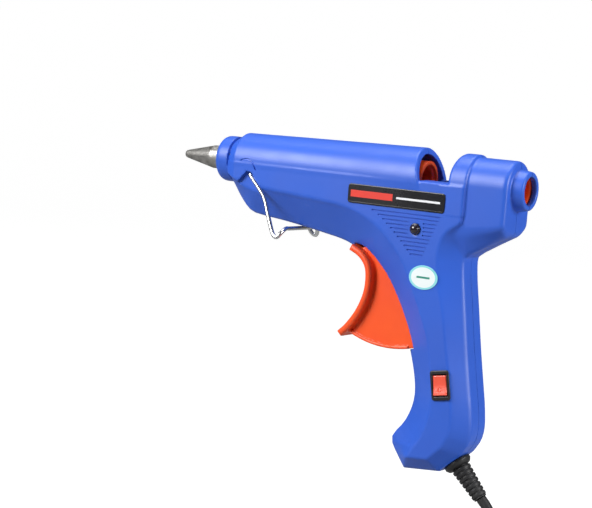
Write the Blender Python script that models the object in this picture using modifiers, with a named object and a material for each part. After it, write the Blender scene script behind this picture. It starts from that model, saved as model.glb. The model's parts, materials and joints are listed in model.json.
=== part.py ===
"""Hot-melt glue gun, modelled as it comes apart on a bench.

Frame, in metres: -X is the way the nozzle points, +Y is the gun's right-hand side,
+Z is up. The barrel's axis is level at AXIS_Z, and the origin is the centre of the grip.
"""

import math

import bmesh
import bpy
import numpy as np
from mathutils import Matrix, Vector

MM = 0.001

# Driving dimensions, in millimetres.
AXIS_Z = 80.0
TIP_X = -150.0
NECK_FRONT_X = -126.0
NECK_REAR_X = -117.6
NECK_R = 11.2
CONE_FRONT_R = 10.8
BARREL_FRONT_X = -112.7
BARREL_FRONT_R = 13.6
BARREL_REAR_X = -14.2
BARREL_REAR_R = 15.2
TAPER_END_X = -46.0
HALF_BODY = 14.8
WALL = 2.2
LOOP_FRONT = 32
LOOP_REAR = 15
PARTING = 0.15
GAP = 0.3
STICK_BORE_R = 6.5
NOTCH_FLOOR_Z = 80.5
UPRIGHT_FRONT_X = 4.6
STEP_X = 14.0
UPRIGHT_R = 14.4
BLOCK_R = 13.2
BLOCK_REAR_X = 34.2
COLLAR_END_X = 40.0
COLLAR_R = 8.9
NOSE_HALF = 3.0
REAR_HALF = 7.6
TRIGGER_PIVOT = (-23.5, 49.5)
TRIGGER_R = 50.0
TRIGGER_WEB_HALF = 5.0
TRIGGER_RIM_HALF = 9.2
PIN_R = 1.5
JAW_PIVOT = (-23.5, 70.5)
JAW_DRIVE_Z = 65.5
STAND_PIVOT = (-102.8, 74.0)
WIRE_R = 1.0
SWITCH_CENTRE = (10.9, -12.0)
SWITCH_TILT = math.radians(10.5)
BEZEL_HALF = (4.8, 6.9)
ROCKER_HALF = (3.4, 4.6)
LENS_CENTRE = (-9.3, 57.8)
LABEL_LOW = (-46.2, 66.4)
LABEL_HIGH = (4.8, 75.5)
STICKER_CENTRE = (-2.9, 36.1)
STICKER_HALF = (7.4, 5.6)
STRAIN_CENTRE = (15.3, -48.6)
STRAIN_DIRECTION = (0.684, -0.729)
STRAIN_LENGTH = 20.5
CORD_R = 2.5
# Each housing screw's x and z, and the height above the parting plane of its seat.
SCREWS = (
    (-109.5, 65.0, 5.5), (-58.0, 59.5, 5.5), (5.5, 62.5, 8.6), (25.5, 65.5, 7.6),
    (8.2, -0.3, 8.6), (12.2, -28.5, 8.6),
)
CLAMP_AT = -11.8
CLAMP_REACH = 5.0
SPRING_X = -8.5
SPRING_LOW_Z = 34.1
SPRING_HIGH_Z = 50.1

# The mid-plane edge of the lower body and handle, and the border of its flat side, front then rear.
FRONT_EDGE = (
    (-118.5, 69.0), (-113.6, 61.8), (-107.6, 55.9), (-100.5, 54.2), (-86.0, 52.6),
    (-66.0, 49.6), (-50.5, 46.4), (-38.5, 39.6), (-28.6, 29.8), (-19.4, 15.4),
    (-13.2, 1.0), (-9.2, -13.0), (-8.6, -23.0), (-11.8, -33.2), (-16.6, -40.2),
    (-16.6, -44.6), (-8.2, -55.0),
)
FRONT_SIDE = (
    (-118.5, 73.5), (-110.0, 70.6), (-100.0, 69.2), (-92.0, 68.5), (-78.0, 67.4),
    (-61.0, 66.1), (-50.0, 65.0), (-39.0, 61.6), (-27.6, 55.4), (-15.2, 42.8),
    (-5.8, 25.4), (1.9, 7.8), (5.0, -8.0), (6.3, -22.0), (3.2, -36.4), (-4.0, -48.2),
)
BUTT_REAR = ((10.2, -53.4), (6.8, -47.4))
REAR_EDGE = (
    (20.4, -43.8), (23.8, -38.0), (24.9, -31.5), (24.0, -22.0), (22.6, -14.0),
    (19.4, 4.0), (16.6, 22.0), (14.4, 36.0), (13.6, 44.0), (14.0, 47.4),
)
REAR_SIDE = (
    (13.6, -41.0), (16.6, -35.0), (17.2, -28.0), (16.4, -19.0), (14.6, -9.0),
    (11.2, 6.0), (8.4, 20.0), (5.2, 31.0), (3.4, 40.0), (3.0, 49.0), (6.0, 57.5),
    (14.0, 63.0),
)


def clear_scene():
    for old in list(bpy.data.objects):
        bpy.data.objects.remove(old)


def new_collection(name, hidden=False):
    made = bpy.data.collections.new(name)
    made.hide_render = hidden
    bpy.context.scene.collection.children.link(made)
    return made


clear_scene()
PARTS = new_collection("glue_gun")
CUTTERS = new_collection("cutters", hidden=True)


# ---------------------------------------------------------------- materials

def material(name, colour, roughness, metallic=0.0):
    made = bpy.data.materials.new(name)
    made.use_nodes = True
    shader = made.node_tree.nodes["Principled BSDF"]
    shader.inputs["Base Color"].default_value = (*colour, 1.0)
    shader.inputs["Roughness"].default_value = roughness
    shader.inputs["Metallic"].default_value = metallic
    return made


BLUE = material("housing_blue", (0.05, 0.12, 0.60), 0.35)
ORANGE = material("feed_orange", (1.0, 0.12, 0.02), 0.4)
CORAL = material("rocker_coral", (0.90, 0.14, 0.09), 0.35)
BLACK = material("black_plastic", (0.01, 0.01, 0.012), 0.4)
RUBBER = material("cord_rubber", (0.012, 0.012, 0.013), 0.6)
CAST = material("cast_metal", (0.45, 0.45, 0.44), 0.5, 1.0)
STEEL = material("plated_steel", (0.70, 0.71, 0.72), 0.22, 1.0)
BRASS = material("brass", (0.72, 0.52, 0.22), 0.3, 1.0)
SILICONE = material("silicone", (0.75, 0.30, 0.22), 0.6)
CERAMIC = material("heater_wrap", (0.55, 0.24, 0.03), 0.4)
INSULATOR = material("insulating_ring", (0.80, 0.77, 0.70), 0.7)
LENS = material("indicator_red", (0.12, 0.01, 0.01), 0.1)
LABEL_INK = material("label_black", (0.015, 0.015, 0.017), 0.35)
STICKER = material("sticker_white", (0.75, 0.85, 0.84), 0.3)
WIRE_RED = material("lead_red", (0.5, 0.03, 0.02), 0.4)
WIRE_BLUE = material("lead_blue", (0.03, 0.1, 0.45), 0.4)
WIRE_BROWN = material("lead_brown", (0.16, 0.06, 0.03), 0.4)


# ---------------------------------------------------------------- shape helpers

def add_object(name, mesh, finish=None):
    made = bpy.data.objects.new(name, mesh)
    if finish is None:
        CUTTERS.objects.link(made)
        made.hide_render = True
        made.display_type = "WIRE"
    else:
        PARTS.objects.link(made)
        mesh.materials.append(finish)
    return made


def face_outwards(shape):
    """Turns a closed shape's faces the same way, and outwards."""
    bmesh.ops.recalc_face_normals(shape, faces=shape.faces)
    if shape.calc_volume(signed=True) < 0:
        bmesh.ops.reverse_faces(shape, faces=shape.faces)


def in_triangles(shape):
    """Splits every face into triangles. A new face has no normal yet, and the split needs one."""
    shape.normal_update()
    bmesh.ops.triangulate(shape, faces=shape.faces, quad_method="FIXED", ngon_method="EAR_CLIP")


def from_bmesh(name, shape, finish=None):
    mesh = bpy.data.meshes.new(name)
    face_outwards(shape)
    shape.to_mesh(mesh)
    shape.free()
    return add_object(name, mesh, finish)


def block(name, low, high, finish=None):
    """A box between two corners, in millimetres."""
    shape = bmesh.new()
    bmesh.ops.create_cube(shape, size=1.0)
    low = Vector(low) * MM
    high = Vector(high) * MM
    for vertex in shape.verts:
        vertex.co = Vector((a + (b - a) * (c + 0.5) for a, b, c in zip(low, high, vertex.co)))
    return from_bmesh(name, shape, finish)


def rod(name, start, end, radius, finish=None, sides=24):
    """A round bar between two points, in millimetres."""
    start = Vector(start) * MM
    end = Vector(end) * MM
    along = end - start
    shape = bmesh.new()
    bmesh.ops.create_cone(
        shape, cap_ends=True, segments=sides, depth=along.length,
        radius1=radius * MM, radius2=radius * MM,
    )
    turn = along.to_track_quat("Z", "Y").to_matrix().to_4x4()
    shape.transform(Matrix.Translation((start + end) / 2) @ turn)
    return from_bmesh(name, shape, finish)


def turned(name, profile, place, direction, finish=None, sides=32):
    """A profile of (along, radius) points turned round the line from place along direction."""
    area = sum(
        (b[0] - a[0]) * (a[1] + b[1]) for a, b in zip(profile, profile[1:] + profile[:1])
    )
    if area > 0:
        profile = profile[::-1]
    closed = min(radius for _, radius in profile) > 0
    mesh = bpy.data.meshes.new(name)
    edges = [(i, i + 1) for i in range(len(profile) - 1)]
    if closed:
        edges.append((len(profile) - 1, 0))
    mesh.from_pydata([(radius * MM, 0, along * MM) for along, radius in profile], edges, [])
    made = add_object(name, mesh, finish)
    made.location = Vector(place) * MM
    made.rotation_euler = Vector(direction).to_track_quat("Z", "Y").to_euler()
    screw = made.modifiers.new("turn", "SCREW")
    screw.steps = sides
    screw.render_steps = sides
    screw.use_merge_vertices = True
    screw.merge_threshold = 0.00001
    screw.use_smooth_shade = False
    return made


def to_mesh(made, finish=None, flatten=False):
    """The object as a plain mesh, welded, in place of the one given. flatten merges coplanar faces."""
    graph = bpy.context.evaluated_depsgraph_get()
    bpy.context.view_layer.update()
    mesh = bpy.data.meshes.new_from_object(made.evaluated_get(graph))
    world = made.matrix_world.copy()
    name = made.name
    bpy.data.objects.remove(made)
    shape = bmesh.new()
    shape.from_mesh(mesh)
    bmesh.ops.remove_doubles(shape, verts=shape.verts, dist=0.000001)
    shape.transform(world)
    if flatten:
        bmesh.ops.dissolve_limit(
            shape, angle_limit=math.radians(0.15), use_dissolve_boundaries=False,
            verts=shape.verts, edges=shape.edges,
        )
        in_triangles(shape)
    face_outwards(shape)
    shape.to_mesh(mesh)
    shape.free()
    mesh.materials.clear()
    mesh.name = name
    return add_object(name, mesh, finish)


def plate(name, outline, centre_y, half, finish=None):
    """A flat outline of (x, z) points, made thick to both sides of centre_y."""
    curve = bpy.data.curves.new(name, "CURVE")
    curve.dimensions = "2D"
    curve.fill_mode = "BOTH"
    curve.extrude = half * MM
    spline = curve.splines.new("POLY")
    spline.points.add(len(outline) - 1)
    for point, (x, z) in zip(spline.points, outline):
        point.co = (x * MM, z * MM, 0, 1)
    spline.use_cyclic_u = True
    made = bpy.data.objects.new(name, curve)
    PARTS.objects.link(made)
    made.rotation_euler = (math.pi / 2, 0, 0)
    made.location = (0, centre_y * MM, 0)
    return to_mesh(made, finish)


def wire(name, points, radius, finish, resolution=2):
    """A round wire through the points, in millimetres, with flat ends."""
    curve = bpy.data.curves.new(name, "CURVE")
    curve.dimensions = "3D"
    curve.bevel_depth = radius * MM
    curve.bevel_resolution = resolution
    curve.use_fill_caps = True
    spline = curve.splines.new("POLY")
    spline.points.add(len(points) - 1)
    for point, place in zip(spline.points, points):
        point.co = (*(Vector(place) * MM), 1)
    made = bpy.data.objects.new(name, curve)
    PARTS.objects.link(made)
    return to_mesh(made, finish)


def smooth_path(points, count):
    """count points spaced evenly along a Catmull-Rom curve through the given points."""
    given = np.array(points, float)
    padded = np.vstack([2 * given[0] - given[1], given, 2 * given[-1] - given[-2]])
    t = np.linspace(0, 1, 24, endpoint=False)[:, None]
    runs = []
    for a, b, c, d in zip(padded, padded[1:], padded[2:], padded[3:]):
        bend = 2 * a - 5 * b + 4 * c - d
        turn = 3 * b - a - 3 * c + d
        runs.append(b + 0.5 * ((c - a) * t + bend * t**2 + turn * t**3))
    dense = np.vstack([*runs, given[-1:]])
    steps = np.linalg.norm(np.diff(dense, axis=0), axis=1)
    along = np.concatenate([[0], np.cumsum(steps)])
    wanted = np.linspace(0, along[-1], count)
    return np.stack([np.interp(wanted, along, dense[:, k]) for k in range(given.shape[1])], 1)


def arc(centre, radius, start, end, count):
    """Points on an arc in the XZ plane, angles in degrees from +X towards +Z."""
    angles = np.radians(np.linspace(start, end, count))
    return [(centre[0] + radius * math.cos(a), centre[1] + radius * math.sin(a)) for a in angles]


def combine(target, other, operation):
    step = target.modifiers.new(other.name, "BOOLEAN")
    step.operation = operation
    step.solver = target.get("solver", "EXACT")
    step.object = other
    return target


def cut(target, *others):
    for other in others:
        combine(target, other, "DIFFERENCE")
    return target


def join(target, *others):
    for other in others:
        combine(target, other, "UNION")
    return target


# ---------------------------------------------------------------- housing surfaces

def side_half(x):
    """Half the body's thickness: a short cone behind the neck, a slow taper, then constant."""
    return np.interp(
        x,
        [NECK_REAR_X, BARREL_FRONT_X, TAPER_END_X],
        [CONE_FRONT_R, BARREL_FRONT_R, HALF_BODY],
    )


def inset_loop(loop, distance):
    """The closed loop moved inwards by distance, with mitred corners. The loop runs anticlockwise."""
    back = loop - np.roll(loop, 1, axis=0)
    ahead = np.roll(loop, -1, axis=0) - loop
    normals = []
    for step in (back, ahead):
        unit = step / np.linalg.norm(step, axis=1)[:, None]
        normals.append(np.stack([-unit[:, 1], unit[:, 0]], 1))
    middle = normals[0] + normals[1]
    middle /= np.linalg.norm(middle, axis=1)[:, None]
    stretch = 1 / np.maximum((middle * normals[0]).sum(1), 0.5)
    return loop + middle * (distance * stretch)[:, None]


def body_loops():
    """The matching loops of the lower body: mid-plane edge, flat side's border, edge half width."""
    front = smooth_path(FRONT_EDGE, LOOP_FRONT)
    front_side = smooth_path(FRONT_SIDE, LOOP_FRONT)
    rear = smooth_path(REAR_EDGE, LOOP_REAR)
    rear_side = smooth_path(REAR_SIDE, LOOP_REAR)
    edge = [*front, BUTT_REAR[0], *rear, (STEP_X, NOTCH_FLOOR_Z)]
    side = [*front_side, BUTT_REAR[1], *rear_side, (STEP_X, NOTCH_FLOOR_Z)]
    widen = np.clip((np.linspace(0, 1, LOOP_FRONT) - 0.84) / 0.16, 0, 1)
    half = [*(NOSE_HALF + (REAR_HALF - NOSE_HALF) * widen), *[REAR_HALF] * (LOOP_REAR + 2)]
    sloping = sum(x < TAPER_END_X for x, _ in front_side)
    tops = [x for x, _ in front_side[:sloping + 1]][::-1]
    edge += [(x, NOTCH_FLOOR_Z) for x in tops]
    side += [(x, NOTCH_FLOOR_Z) for x in tops]
    half += [REAR_HALF] * len(tops)
    return np.array(edge), np.array(side), np.array(half), len(tops)


def lower_body(name, inset=0.0, roof=NOTCH_FLOOR_Z, narrow=None):
    """The lower body and handle, lofted between its mid-plane edge and the border of its flat side."""
    edge, side, half, strips = body_loops()
    depth = side_half(side[:, 0])
    if inset:
        edge = inset_loop(edge, inset * 1.15)
        side = inset_loop(side, inset * 0.5)
        half = np.maximum(half - inset * 0.5, 1.0)
        depth = depth - inset
        lid = np.arange(len(edge)) >= len(edge) - strips - 1
        edge[:, 1] = np.where(lid, roof, np.minimum(edge[:, 1], roof - 3.0))
        side[:, 1] = np.where(lid, roof, np.minimum(side[:, 1], roof - 1.5))
    if narrow:
        depth = np.where(side[:, 0] < narrow[0], np.minimum(depth, narrow[1]), depth)
    count = len(edge)
    shape = bmesh.new()
    rings = []
    for sign, loop, y in ((-1, side, depth), (-1, edge, half), (1, edge, half), (1, side, depth)):
        rings.append([
            shape.verts.new((x * MM, sign * wide * MM, z * MM)) for (x, z), wide in zip(loop, y)
        ])
    for one, two in zip(rings, rings[1:]):
        for i in range(count):
            j = (i + 1) % count
            shape.faces.new((one[i], one[j], two[j], two[i]))
    for ring in (rings[0], rings[-1]):
        for i in range(strips - 1):
            shape.faces.new((ring[i], ring[i + 1], ring[count - 2 - i], ring[count - 1 - i]))
        shape.faces.new(ring[strips - 1:count - strips + 1])
    in_triangles(shape)
    return from_bmesh(name, shape)


def block_section(x, radius, side_z, floor_z, inset):
    """One section of the rear block: round top, straight sides, sloping flanks and a flat floor."""
    radius -= inset
    angles = np.radians(np.linspace(0, 180, 17))
    top = [(radius * math.cos(a), AXIS_Z + radius * math.sin(a)) for a in angles]
    floor = floor_z + inset * 1.1
    half = REAR_HALF - inset * 0.5
    lower = [(-radius, side_z + inset * 0.3), (-half, floor), (half, floor), (radius, side_z + inset * 0.3)]
    return [(x, y, z) for y, z in top + lower]


def rear_block(name, inset=0.0):
    """The block over the hand's web, from inside the upright to the rear face."""
    start = STEP_X - 6 + inset
    stations = (
        (start, 59.0, 46.9), (STEP_X + 0.6, 59.0, 47.3), (17.4, 59.1, 49.4), (25.0, 60.4, 53.9),
        (BLOCK_REAR_X - inset, 62.6 + inset * 0.2, 59.0 - inset * 0.5),
    )
    shape = bmesh.new()
    rings = []
    for x, side_z, floor_z in stations:
        section = block_section(x, BLOCK_R, side_z, floor_z, inset)
        rings.append([shape.verts.new(Vector(point) * MM) for point in section])
    count = len(rings[0])
    for one, two in zip(rings, rings[1:]):
        for i in range(count):
            j = (i + 1) % count
            shape.faces.new((one[i], one[j], two[j], two[i]))
    shape.faces.new(rings[0])
    shape.faces.new(rings[-1])
    in_triangles(shape)
    return from_bmesh(name, shape)


def upright(name, low_z, radius, half, front, rear):
    """The arch between the notch and the rear block."""
    shape = bmesh.new()
    angles = np.radians(np.linspace(0, 180, 17))
    section = [(radius * math.cos(a), AXIS_Z + radius * math.sin(a)) for a in angles]
    section = [(half, low_z), (half, AXIS_Z - 1), *section, (-half, AXIS_Z - 1), (-half, low_z)]
    lean = 2.6
    rings = []
    for x, tilt in ((front, 1.0), (rear, 0.0)):
        ring = []
        for y, z in section:
            rise = max(z - AXIS_Z - 4, 0) / radius
            ring.append(shape.verts.new(Vector((x + tilt * lean * rise**2, y, z)) * MM))
        rings.append(ring)
    count = len(section)
    for i in range(count):
        j = (i + 1) % count
        shape.faces.new((rings[0][i], rings[0][j], rings[1][j], rings[1][i]))
    shape.faces.new(rings[0])
    shape.faces.new(rings[1])
    in_triangles(shape)
    return from_bmesh(name, shape)


def along_axis(name, profile, finish=None, sides=28):
    """A turned shape on the barrel's axis, from (x, radius) points."""
    return turned(name, profile, (0, 0, AXIS_Z), (1, 0, 0), finish, sides)


def on_axis_rod(name, start, end, radius, sides=32):
    return rod(name, (start, 0, AXIS_Z), (end, 0, AXIS_Z), radius, sides=sides)


def barrel_radius(x):
    return float(np.interp(x, [BARREL_FRONT_X, BARREL_REAR_X], [BARREL_FRONT_R, BARREL_REAR_R]))


def stand_pocket(side):
    """The shallow wedge in one side that the stand's leg swings in."""
    x, z = STAND_PIVOT
    outline = [
        (x - 1.6, z + 2.3), (x - 7.6, z - 4.6), (x - 12.0, z - 22.0), (x + 17.5, z - 22.0),
        (x + 13.5, z - 11.6), (x + 8.0, z - 4.4), (x + 3.4, z + 1.2),
    ]
    return plate("stand_pocket", outline, side * (11.6 + 5.0), 5.0)


def decorative_groove(index):
    """One of eleven shallow grooves that form a triangle under the label."""
    share = index / 10
    z = 64.3 - 18.2 * share
    left = -33.0 + 22.0 * share**0.8
    right = 3.0 - 7.4 * share
    if abs(z - LENS_CENTRE[1]) < 3.4:
        spans = ((left, LENS_CENTRE[0] - 3.8), (LENS_CENTRE[0] + 3.8, right))
    else:
        spans = ((left, right),)
    return [
        block("groove", (x0, -HALF_BODY - 1, z - 0.32), (x1, -HALF_BODY + 0.45, z + 0.32))
        for x0, x1 in spans
    ]


def in_switch_frame(u, v):
    """A point of the switch's face, u across and v up, in the gun's (x, z)."""
    c = math.cos(SWITCH_TILT)
    s = math.sin(SWITCH_TILT)
    return (SWITCH_CENTRE[0] + u * c - v * s, SWITCH_CENTRE[1] + u * s + v * c)


def switch_rectangle(half_u, half_v):
    corners = ((-half_u, -half_v), (half_u, -half_v), (half_u, half_v), (-half_u, half_v))
    return [in_switch_frame(u, v) for u, v in corners]


def strain_point(distance, y=0.0):
    x = STRAIN_CENTRE[0] + STRAIN_DIRECTION[0] * distance
    z = STRAIN_CENTRE[1] + STRAIN_DIRECTION[1] * distance
    return (x, y, z)


def trigger_slot():
    """The slot in the handle's front edge, with room for the web to swing inwards."""
    reach = TRIGGER_R + 0.7
    outline = [(-49.0, 40.0), (-49.0, 47.3), (-46.0, 47.3), (-40.0, 46.5), (-31.8, 48.9), (-30.0, 55.5), (-14.0, 54.0), *arc(TRIGGER_PIVOT, reach, -58, -112, 14), (-50.0, 10.0)]
    return plate("trigger_slot", outline, 0.0, TRIGGER_WEB_HALF + 0.5)


def clamp_screw_places():
    """(x, z) of the two screws of the cord clamp, on either side of the cord."""
    x, _, z = strain_point(CLAMP_AT)
    reach_x = CLAMP_REACH * STRAIN_DIRECTION[1]
    reach_z = CLAMP_REACH * STRAIN_DIRECTION[0]
    return [(x + side * reach_x, z - side * reach_z) for side in (-1, 1)]


def screw_posts(side):
    """The posts that the housing screws clamp, wider round the seats on the right side."""
    inner = side * PARTING
    posts = None
    for x, z, seat in SCREWS:
        if x > STEP_X:
            continue
        post = rod("screw_post", (x, side * 14, z), (x, inner, z), 2.9, sides=12)
        if side > 0:
            seat_post = rod("seat_post", (x, 14, z), (x, seat - 1.2, z), 4.2, sides=12)
            post = join(post, seat_post)
        posts = post if posts is None else join(posts, post)
    return posts


def housing(side):
    """One half shell. side is -1 for the left shell, which holds the switch, and 1 for the right."""
    label = "left" if side < 0 else "right"
    shell = lower_body(label + "_shell_solid")
    # EXACT leaves open edges where the block's hollow meets the bore.
    shell["solver"] = "MANIFOLD"
    barrel = along_axis("barrel_solid", [
        (NECK_FRONT_X, 0), (NECK_FRONT_X, NECK_R - 1.6), (NECK_FRONT_X + 0.5, NECK_R - 0.5),
        (NECK_FRONT_X + 1.6, NECK_R), (NECK_REAR_X - 0.6, NECK_R), (NECK_REAR_X - 0.6, NECK_R - 0.8),
        (NECK_REAR_X + 0.3, NECK_R - 0.8), (BARREL_FRONT_X, BARREL_FRONT_R),
        (BARREL_REAR_X, BARREL_REAR_R), (BARREL_REAR_X + 6.0, BARREL_REAR_R), (BARREL_REAR_X + 6.0, 0),
    ])
    # The barrel's open end leans back, from its top down to the notch's floor.
    cut(barrel, plate("barrel_end", [
        (BARREL_REAR_X - 0.4, 97.0), (BARREL_REAR_X + 5.2, 75.0), (0.0, 75.0), (0.0, 97.0),
    ][::-1], 0.0, 20.0))
    collar = along_axis("collar_solid", [
        (BLOCK_REAR_X - 1, 0), (BLOCK_REAR_X - 1, COLLAR_R + 0.9), (BLOCK_REAR_X + 0.6, COLLAR_R + 0.7),
        (COLLAR_END_X - 0.4, COLLAR_R), (COLLAR_END_X, COLLAR_R - 0.3), (COLLAR_END_X, 0),
    ])
    arch = upright("upright_solid", 66.0, UPRIGHT_R, HALF_BODY - 0.06, UPRIGHT_FRONT_X, STEP_X - 0.05)
    join(shell, barrel, rear_block("block_solid"), arch, collar)

    # Hollow inside.
    cavity = lower_body("body_cavity", WALL, roof=70.6, narrow=(-88.0, 10.4))
    bore = along_axis("axis_bore", [
        (NECK_FRONT_X - 1, 0), (NECK_FRONT_X - 1, 7.3), (-122.6, 7.3), (-122.6, 9.9), (-116.6, 9.9),
        (BARREL_FRONT_X, 11.2), (BARREL_REAR_X - 1.8, BARREL_REAR_R - WALL), (BARREL_REAR_X - 1.8, 12.2),
        (BARREL_REAR_X + 4.4, 12.2), (BARREL_REAR_X + 4.4, 7.0), (UPRIGHT_FRONT_X - 0.4, 7.0),
        (UPRIGHT_FRONT_X - 0.4, 7.9), (37.2, 7.9), (37.2, 6.6), (COLLAR_END_X + 1, 6.6), (COLLAR_END_X + 1, 0),
    ])
    cut(shell, cavity, bore, rear_block("block_cavity", WALL))
    cut(
        shell,
        trigger_slot(),
        stand_pocket(-1),
        stand_pocket(1),
        rod("stand_hole", (STAND_PIVOT[0], -20, STAND_PIVOT[1]), (STAND_PIVOT[0], 20, STAND_PIVOT[1]), WIRE_R + GAP),
        rod("strain_hole", strain_point(-12), strain_point(3), 4.3),
    )

    # Ribs that hold the chamber, rails that guide the carriage, and posts.
    inner = side * PARTING
    rib_front = along_axis("front_rib", [(-109.2, 9.4), (-109.2, 12.4), (-107.8, 12.4), (-107.8, 9.4)])
    rib_rear = along_axis("rear_rib", [(-63.8, 9.9), (-63.8, 13.4), (-62.4, 13.4), (-62.4, 9.9)])
    join(shell, rib_front, rib_rear)
    for z in (77.2, 82.8):
        join(shell, block("rail", (-47, side * 10.3, z - 0.9), (-17, side * 13.6, z + 0.9)))
    posts = screw_posts(side)
    pivot_x, pivot_z = TRIGGER_PIVOT
    join(posts, rod("pivot_post", (pivot_x, side * 14, pivot_z), (pivot_x, side * 6.7, pivot_z), 3.6, sides=12))
    if side < 0:
        for x, z in clamp_screw_places():
            join(posts, rod("clamp_post", (x, -14, z), (x, -PARTING, z), 2.3, sides=12))
        join(posts, rod("spring_post", (SPRING_X, -14, 32.2), (SPRING_X, -PARTING, 32.2), 1.6, sides=12))
    combine(posts, lower_body("post_limit", 0.8, roof=79.0), "INTERSECT")
    join(shell, to_mesh(posts))
    block_x, block_z, _ = SCREWS[3]
    join(shell, rod("block_post", (block_x, side * 12.2, block_z), (block_x, inner, block_z), 4.2, sides=12))
    cut(shell, rod("pin_hole", (pivot_x, side * 11.6, pivot_z), (pivot_x, side * 5.0, pivot_z), PIN_R + GAP, sides=12))
    for x, z, seat in SCREWS:
        if side > 0:
            cut(
                shell,
                rod("screw_hole", (x, 20, z), (x, -1, z), 1.5, sides=12),
                rod("screw_recess", (x, 20, z), (x, seat, z), 2.9, sides=12),
            )
        else:
            cut(shell, rod("pilot_hole", (x, -6.0, z), (x, 1, z), 1.5, sides=12))
    if side < 0:
        join(shell, rod("lens_post", (LENS_CENTRE[0], -13.4, LENS_CENTRE[1]), (LENS_CENTRE[0], -9.4, LENS_CENTRE[1]), 4.1, sides=24))
        cut(
            shell,
            plate("switch_window", switch_rectangle(BEZEL_HALF[0] - 0.7, BEZEL_HALF[1] - 0.7), -14, 4.0),
            rod("lens_hole", (LENS_CENTRE[0], -18, LENS_CENTRE[1]), (LENS_CENTRE[0], -7, LENS_CENTRE[1]), 2.7),
        )
        for x, z in clamp_screw_places():
            cut(shell, rod("clamp_pilot", (x, -6.0, z), (x, 1, z), 1.3, sides=12))
        for index in range(11):
            cut(shell, *decorative_groove(index))

    # Keep this side of the parting plane.
    low_y, high_y = sorted((side * PARTING, side * 40))
    keep = block("keep_" + label, (-170, low_y, -90), (70, high_y, 120))
    combine(shell, keep, "INTERSECT")
    made = to_mesh(shell, BLUE, flatten=True)
    made.name = label + "_housing"
    return made


# ---------------------------------------------------------------- hot end

def hot_end():
    along_axis("nozzle", [
        (TIP_X, 0.9), (TIP_X, 1.6), (-148.8, 2.0), (-132.6, 5.7), (-125.0, 5.7), (-125.0, 4.2),
        (-117.0, 4.2), (-117.0, 2.6), (-136.0, 2.2), (-143.0, 0.9),
    ], CAST, 24)
    along_axis("nozzle_collar", [
        (-122.3, 7.2), (-122.3, 9.6), (-117.3, 9.6), (-117.3, 7.2),
    ], INSULATOR, 24)
    chamber = along_axis("melt_chamber", [
        (-124.6, 4.5), (-124.6, 6.8), (-117.0, 6.8), (-117.0, 9.0), (-75.6, 9.0), (-75.6, 7.6),
        (-64.0, 7.6), (-64.0, 6.3), (-112.0, 5.9), (-118.0, 4.5),
    ], CAST, 24)
    oven = block("oven_block", (-101.0, -6.0, 63.6), (-78.0, 6.0, 73.0))
    join(chamber, oven)
    cut(chamber, block("heater_slot", (-110, -4.9, 64.8), (-70, 4.9, 69.6)))
    to_mesh(chamber, CAST)
    block("heater", (-100.0, -4.6, 66.2), (-76.0, 4.6, 69.3), CERAMIC)
    clip = plate("heater_clip", [
        (-102.6, 65.1), (-75.0, 65.1), (-75.0, 63.0), (-74.2, 63.0), (-74.2, 65.9), (-102.6, 65.9),
    ], 0, 4.4, STEEL)
    clip.name = "heater_clip"
    along_axis("feed_sleeve", [
        (-74.6, 7.9), (-74.6, 9.5), (-46.0, 9.5), (-46.0, 6.4), (-63.6, 6.4), (-63.6, 7.9),
    ], SILICONE, 24)
    along_axis("sleeve_clamp", [
        (-71.5, 9.8), (-71.5, 10.6), (-66.5, 10.6), (-66.5, 9.8),
    ], STEEL, 24)


# ---------------------------------------------------------------- feed

def feed_carriage():
    ring = along_axis("feed_carriage", [
        (-34.0, 6.6), (-34.0, 9.0), (-12.6, 9.0), (-12.0, 8.6), (-12.0, 6.9), (-12.4, 6.6),
    ], ORANGE, 28)
    join(ring, block("guide_fins", (-34.0, -12.0, 78.9), (-15.0, 12.0, 81.1)))
    join(ring, block("cheeks", (-32.0, -5.7, 68.3), (-17.5, 5.7, 74.0)))
    cut(ring, on_axis_rod("stick_bore", -36.0, -10.0, 6.6, 28))
    cut(ring, block("jaw_slot", (-34.5, -2.9, 60.0), (-16.0, 2.9, 75.0)))
    x, z = JAW_PIVOT
    cut(ring, rod("jaw_pin_hole", (x, -7, z), (x, 7, z), 1.25, sides=12))
    to_mesh(ring, ORANGE)


def clamp_jaw():
    x, z = JAW_PIVOT
    outline = [
        (x - 7.2, 73.1), (x - 6.2, 71.9), (x - 5.2, 73.1), (x - 4.2, 71.9), (x - 2.6, 72.6),
        (x + 1.8, 72.4), (x + 2.6, 70.6), (x + 2.0, 63.9), (x - 2.0, 63.9), (x - 2.6, 68.6),
        (x - 7.2, 70.4),
    ]
    jaw = plate("clamp_jaw", outline, 0, 2.5)
    join(jaw, rod("drive_peg", (x, -5.2, JAW_DRIVE_Z), (x, 5.2, JAW_DRIVE_Z), 1.1, sides=12))
    cut(jaw, rod("jaw_hole", (x, -4, z), (x, 4, z), 1.25, sides=12))
    to_mesh(jaw, STEEL)
    rod("jaw_pin", (x, -5.5, z), (x, 5.5, z), 1.0, STEEL, 12)


def rear_guide():
    along_axis("rear_guide", [
        (5.0, STICK_BORE_R), (5.0, 7.6), (36.9, 7.6), (36.9, STICK_BORE_R),
    ], ORANGE, 28)


# ---------------------------------------------------------------- trigger

def trigger_front(offset):
    """The finger's side of the trigger, moved back by offset."""
    outer = [(-47.2, 43.6), (-41.6, 40.8), (-38.0, 36.6), (-36.9, 30.6), (-37.6, 23.6), (-40.8, 15.6),
             (-45.6, 8.6), (-50.0, 4.2)]
    path = smooth_path(outer, 12)
    ahead = np.gradient(path, axis=0)
    ahead /= np.linalg.norm(ahead, axis=1)[:, None]
    return [tuple(p + offset * np.array((-t[1], t[0]))) for p, t in zip(path, ahead)]


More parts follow.
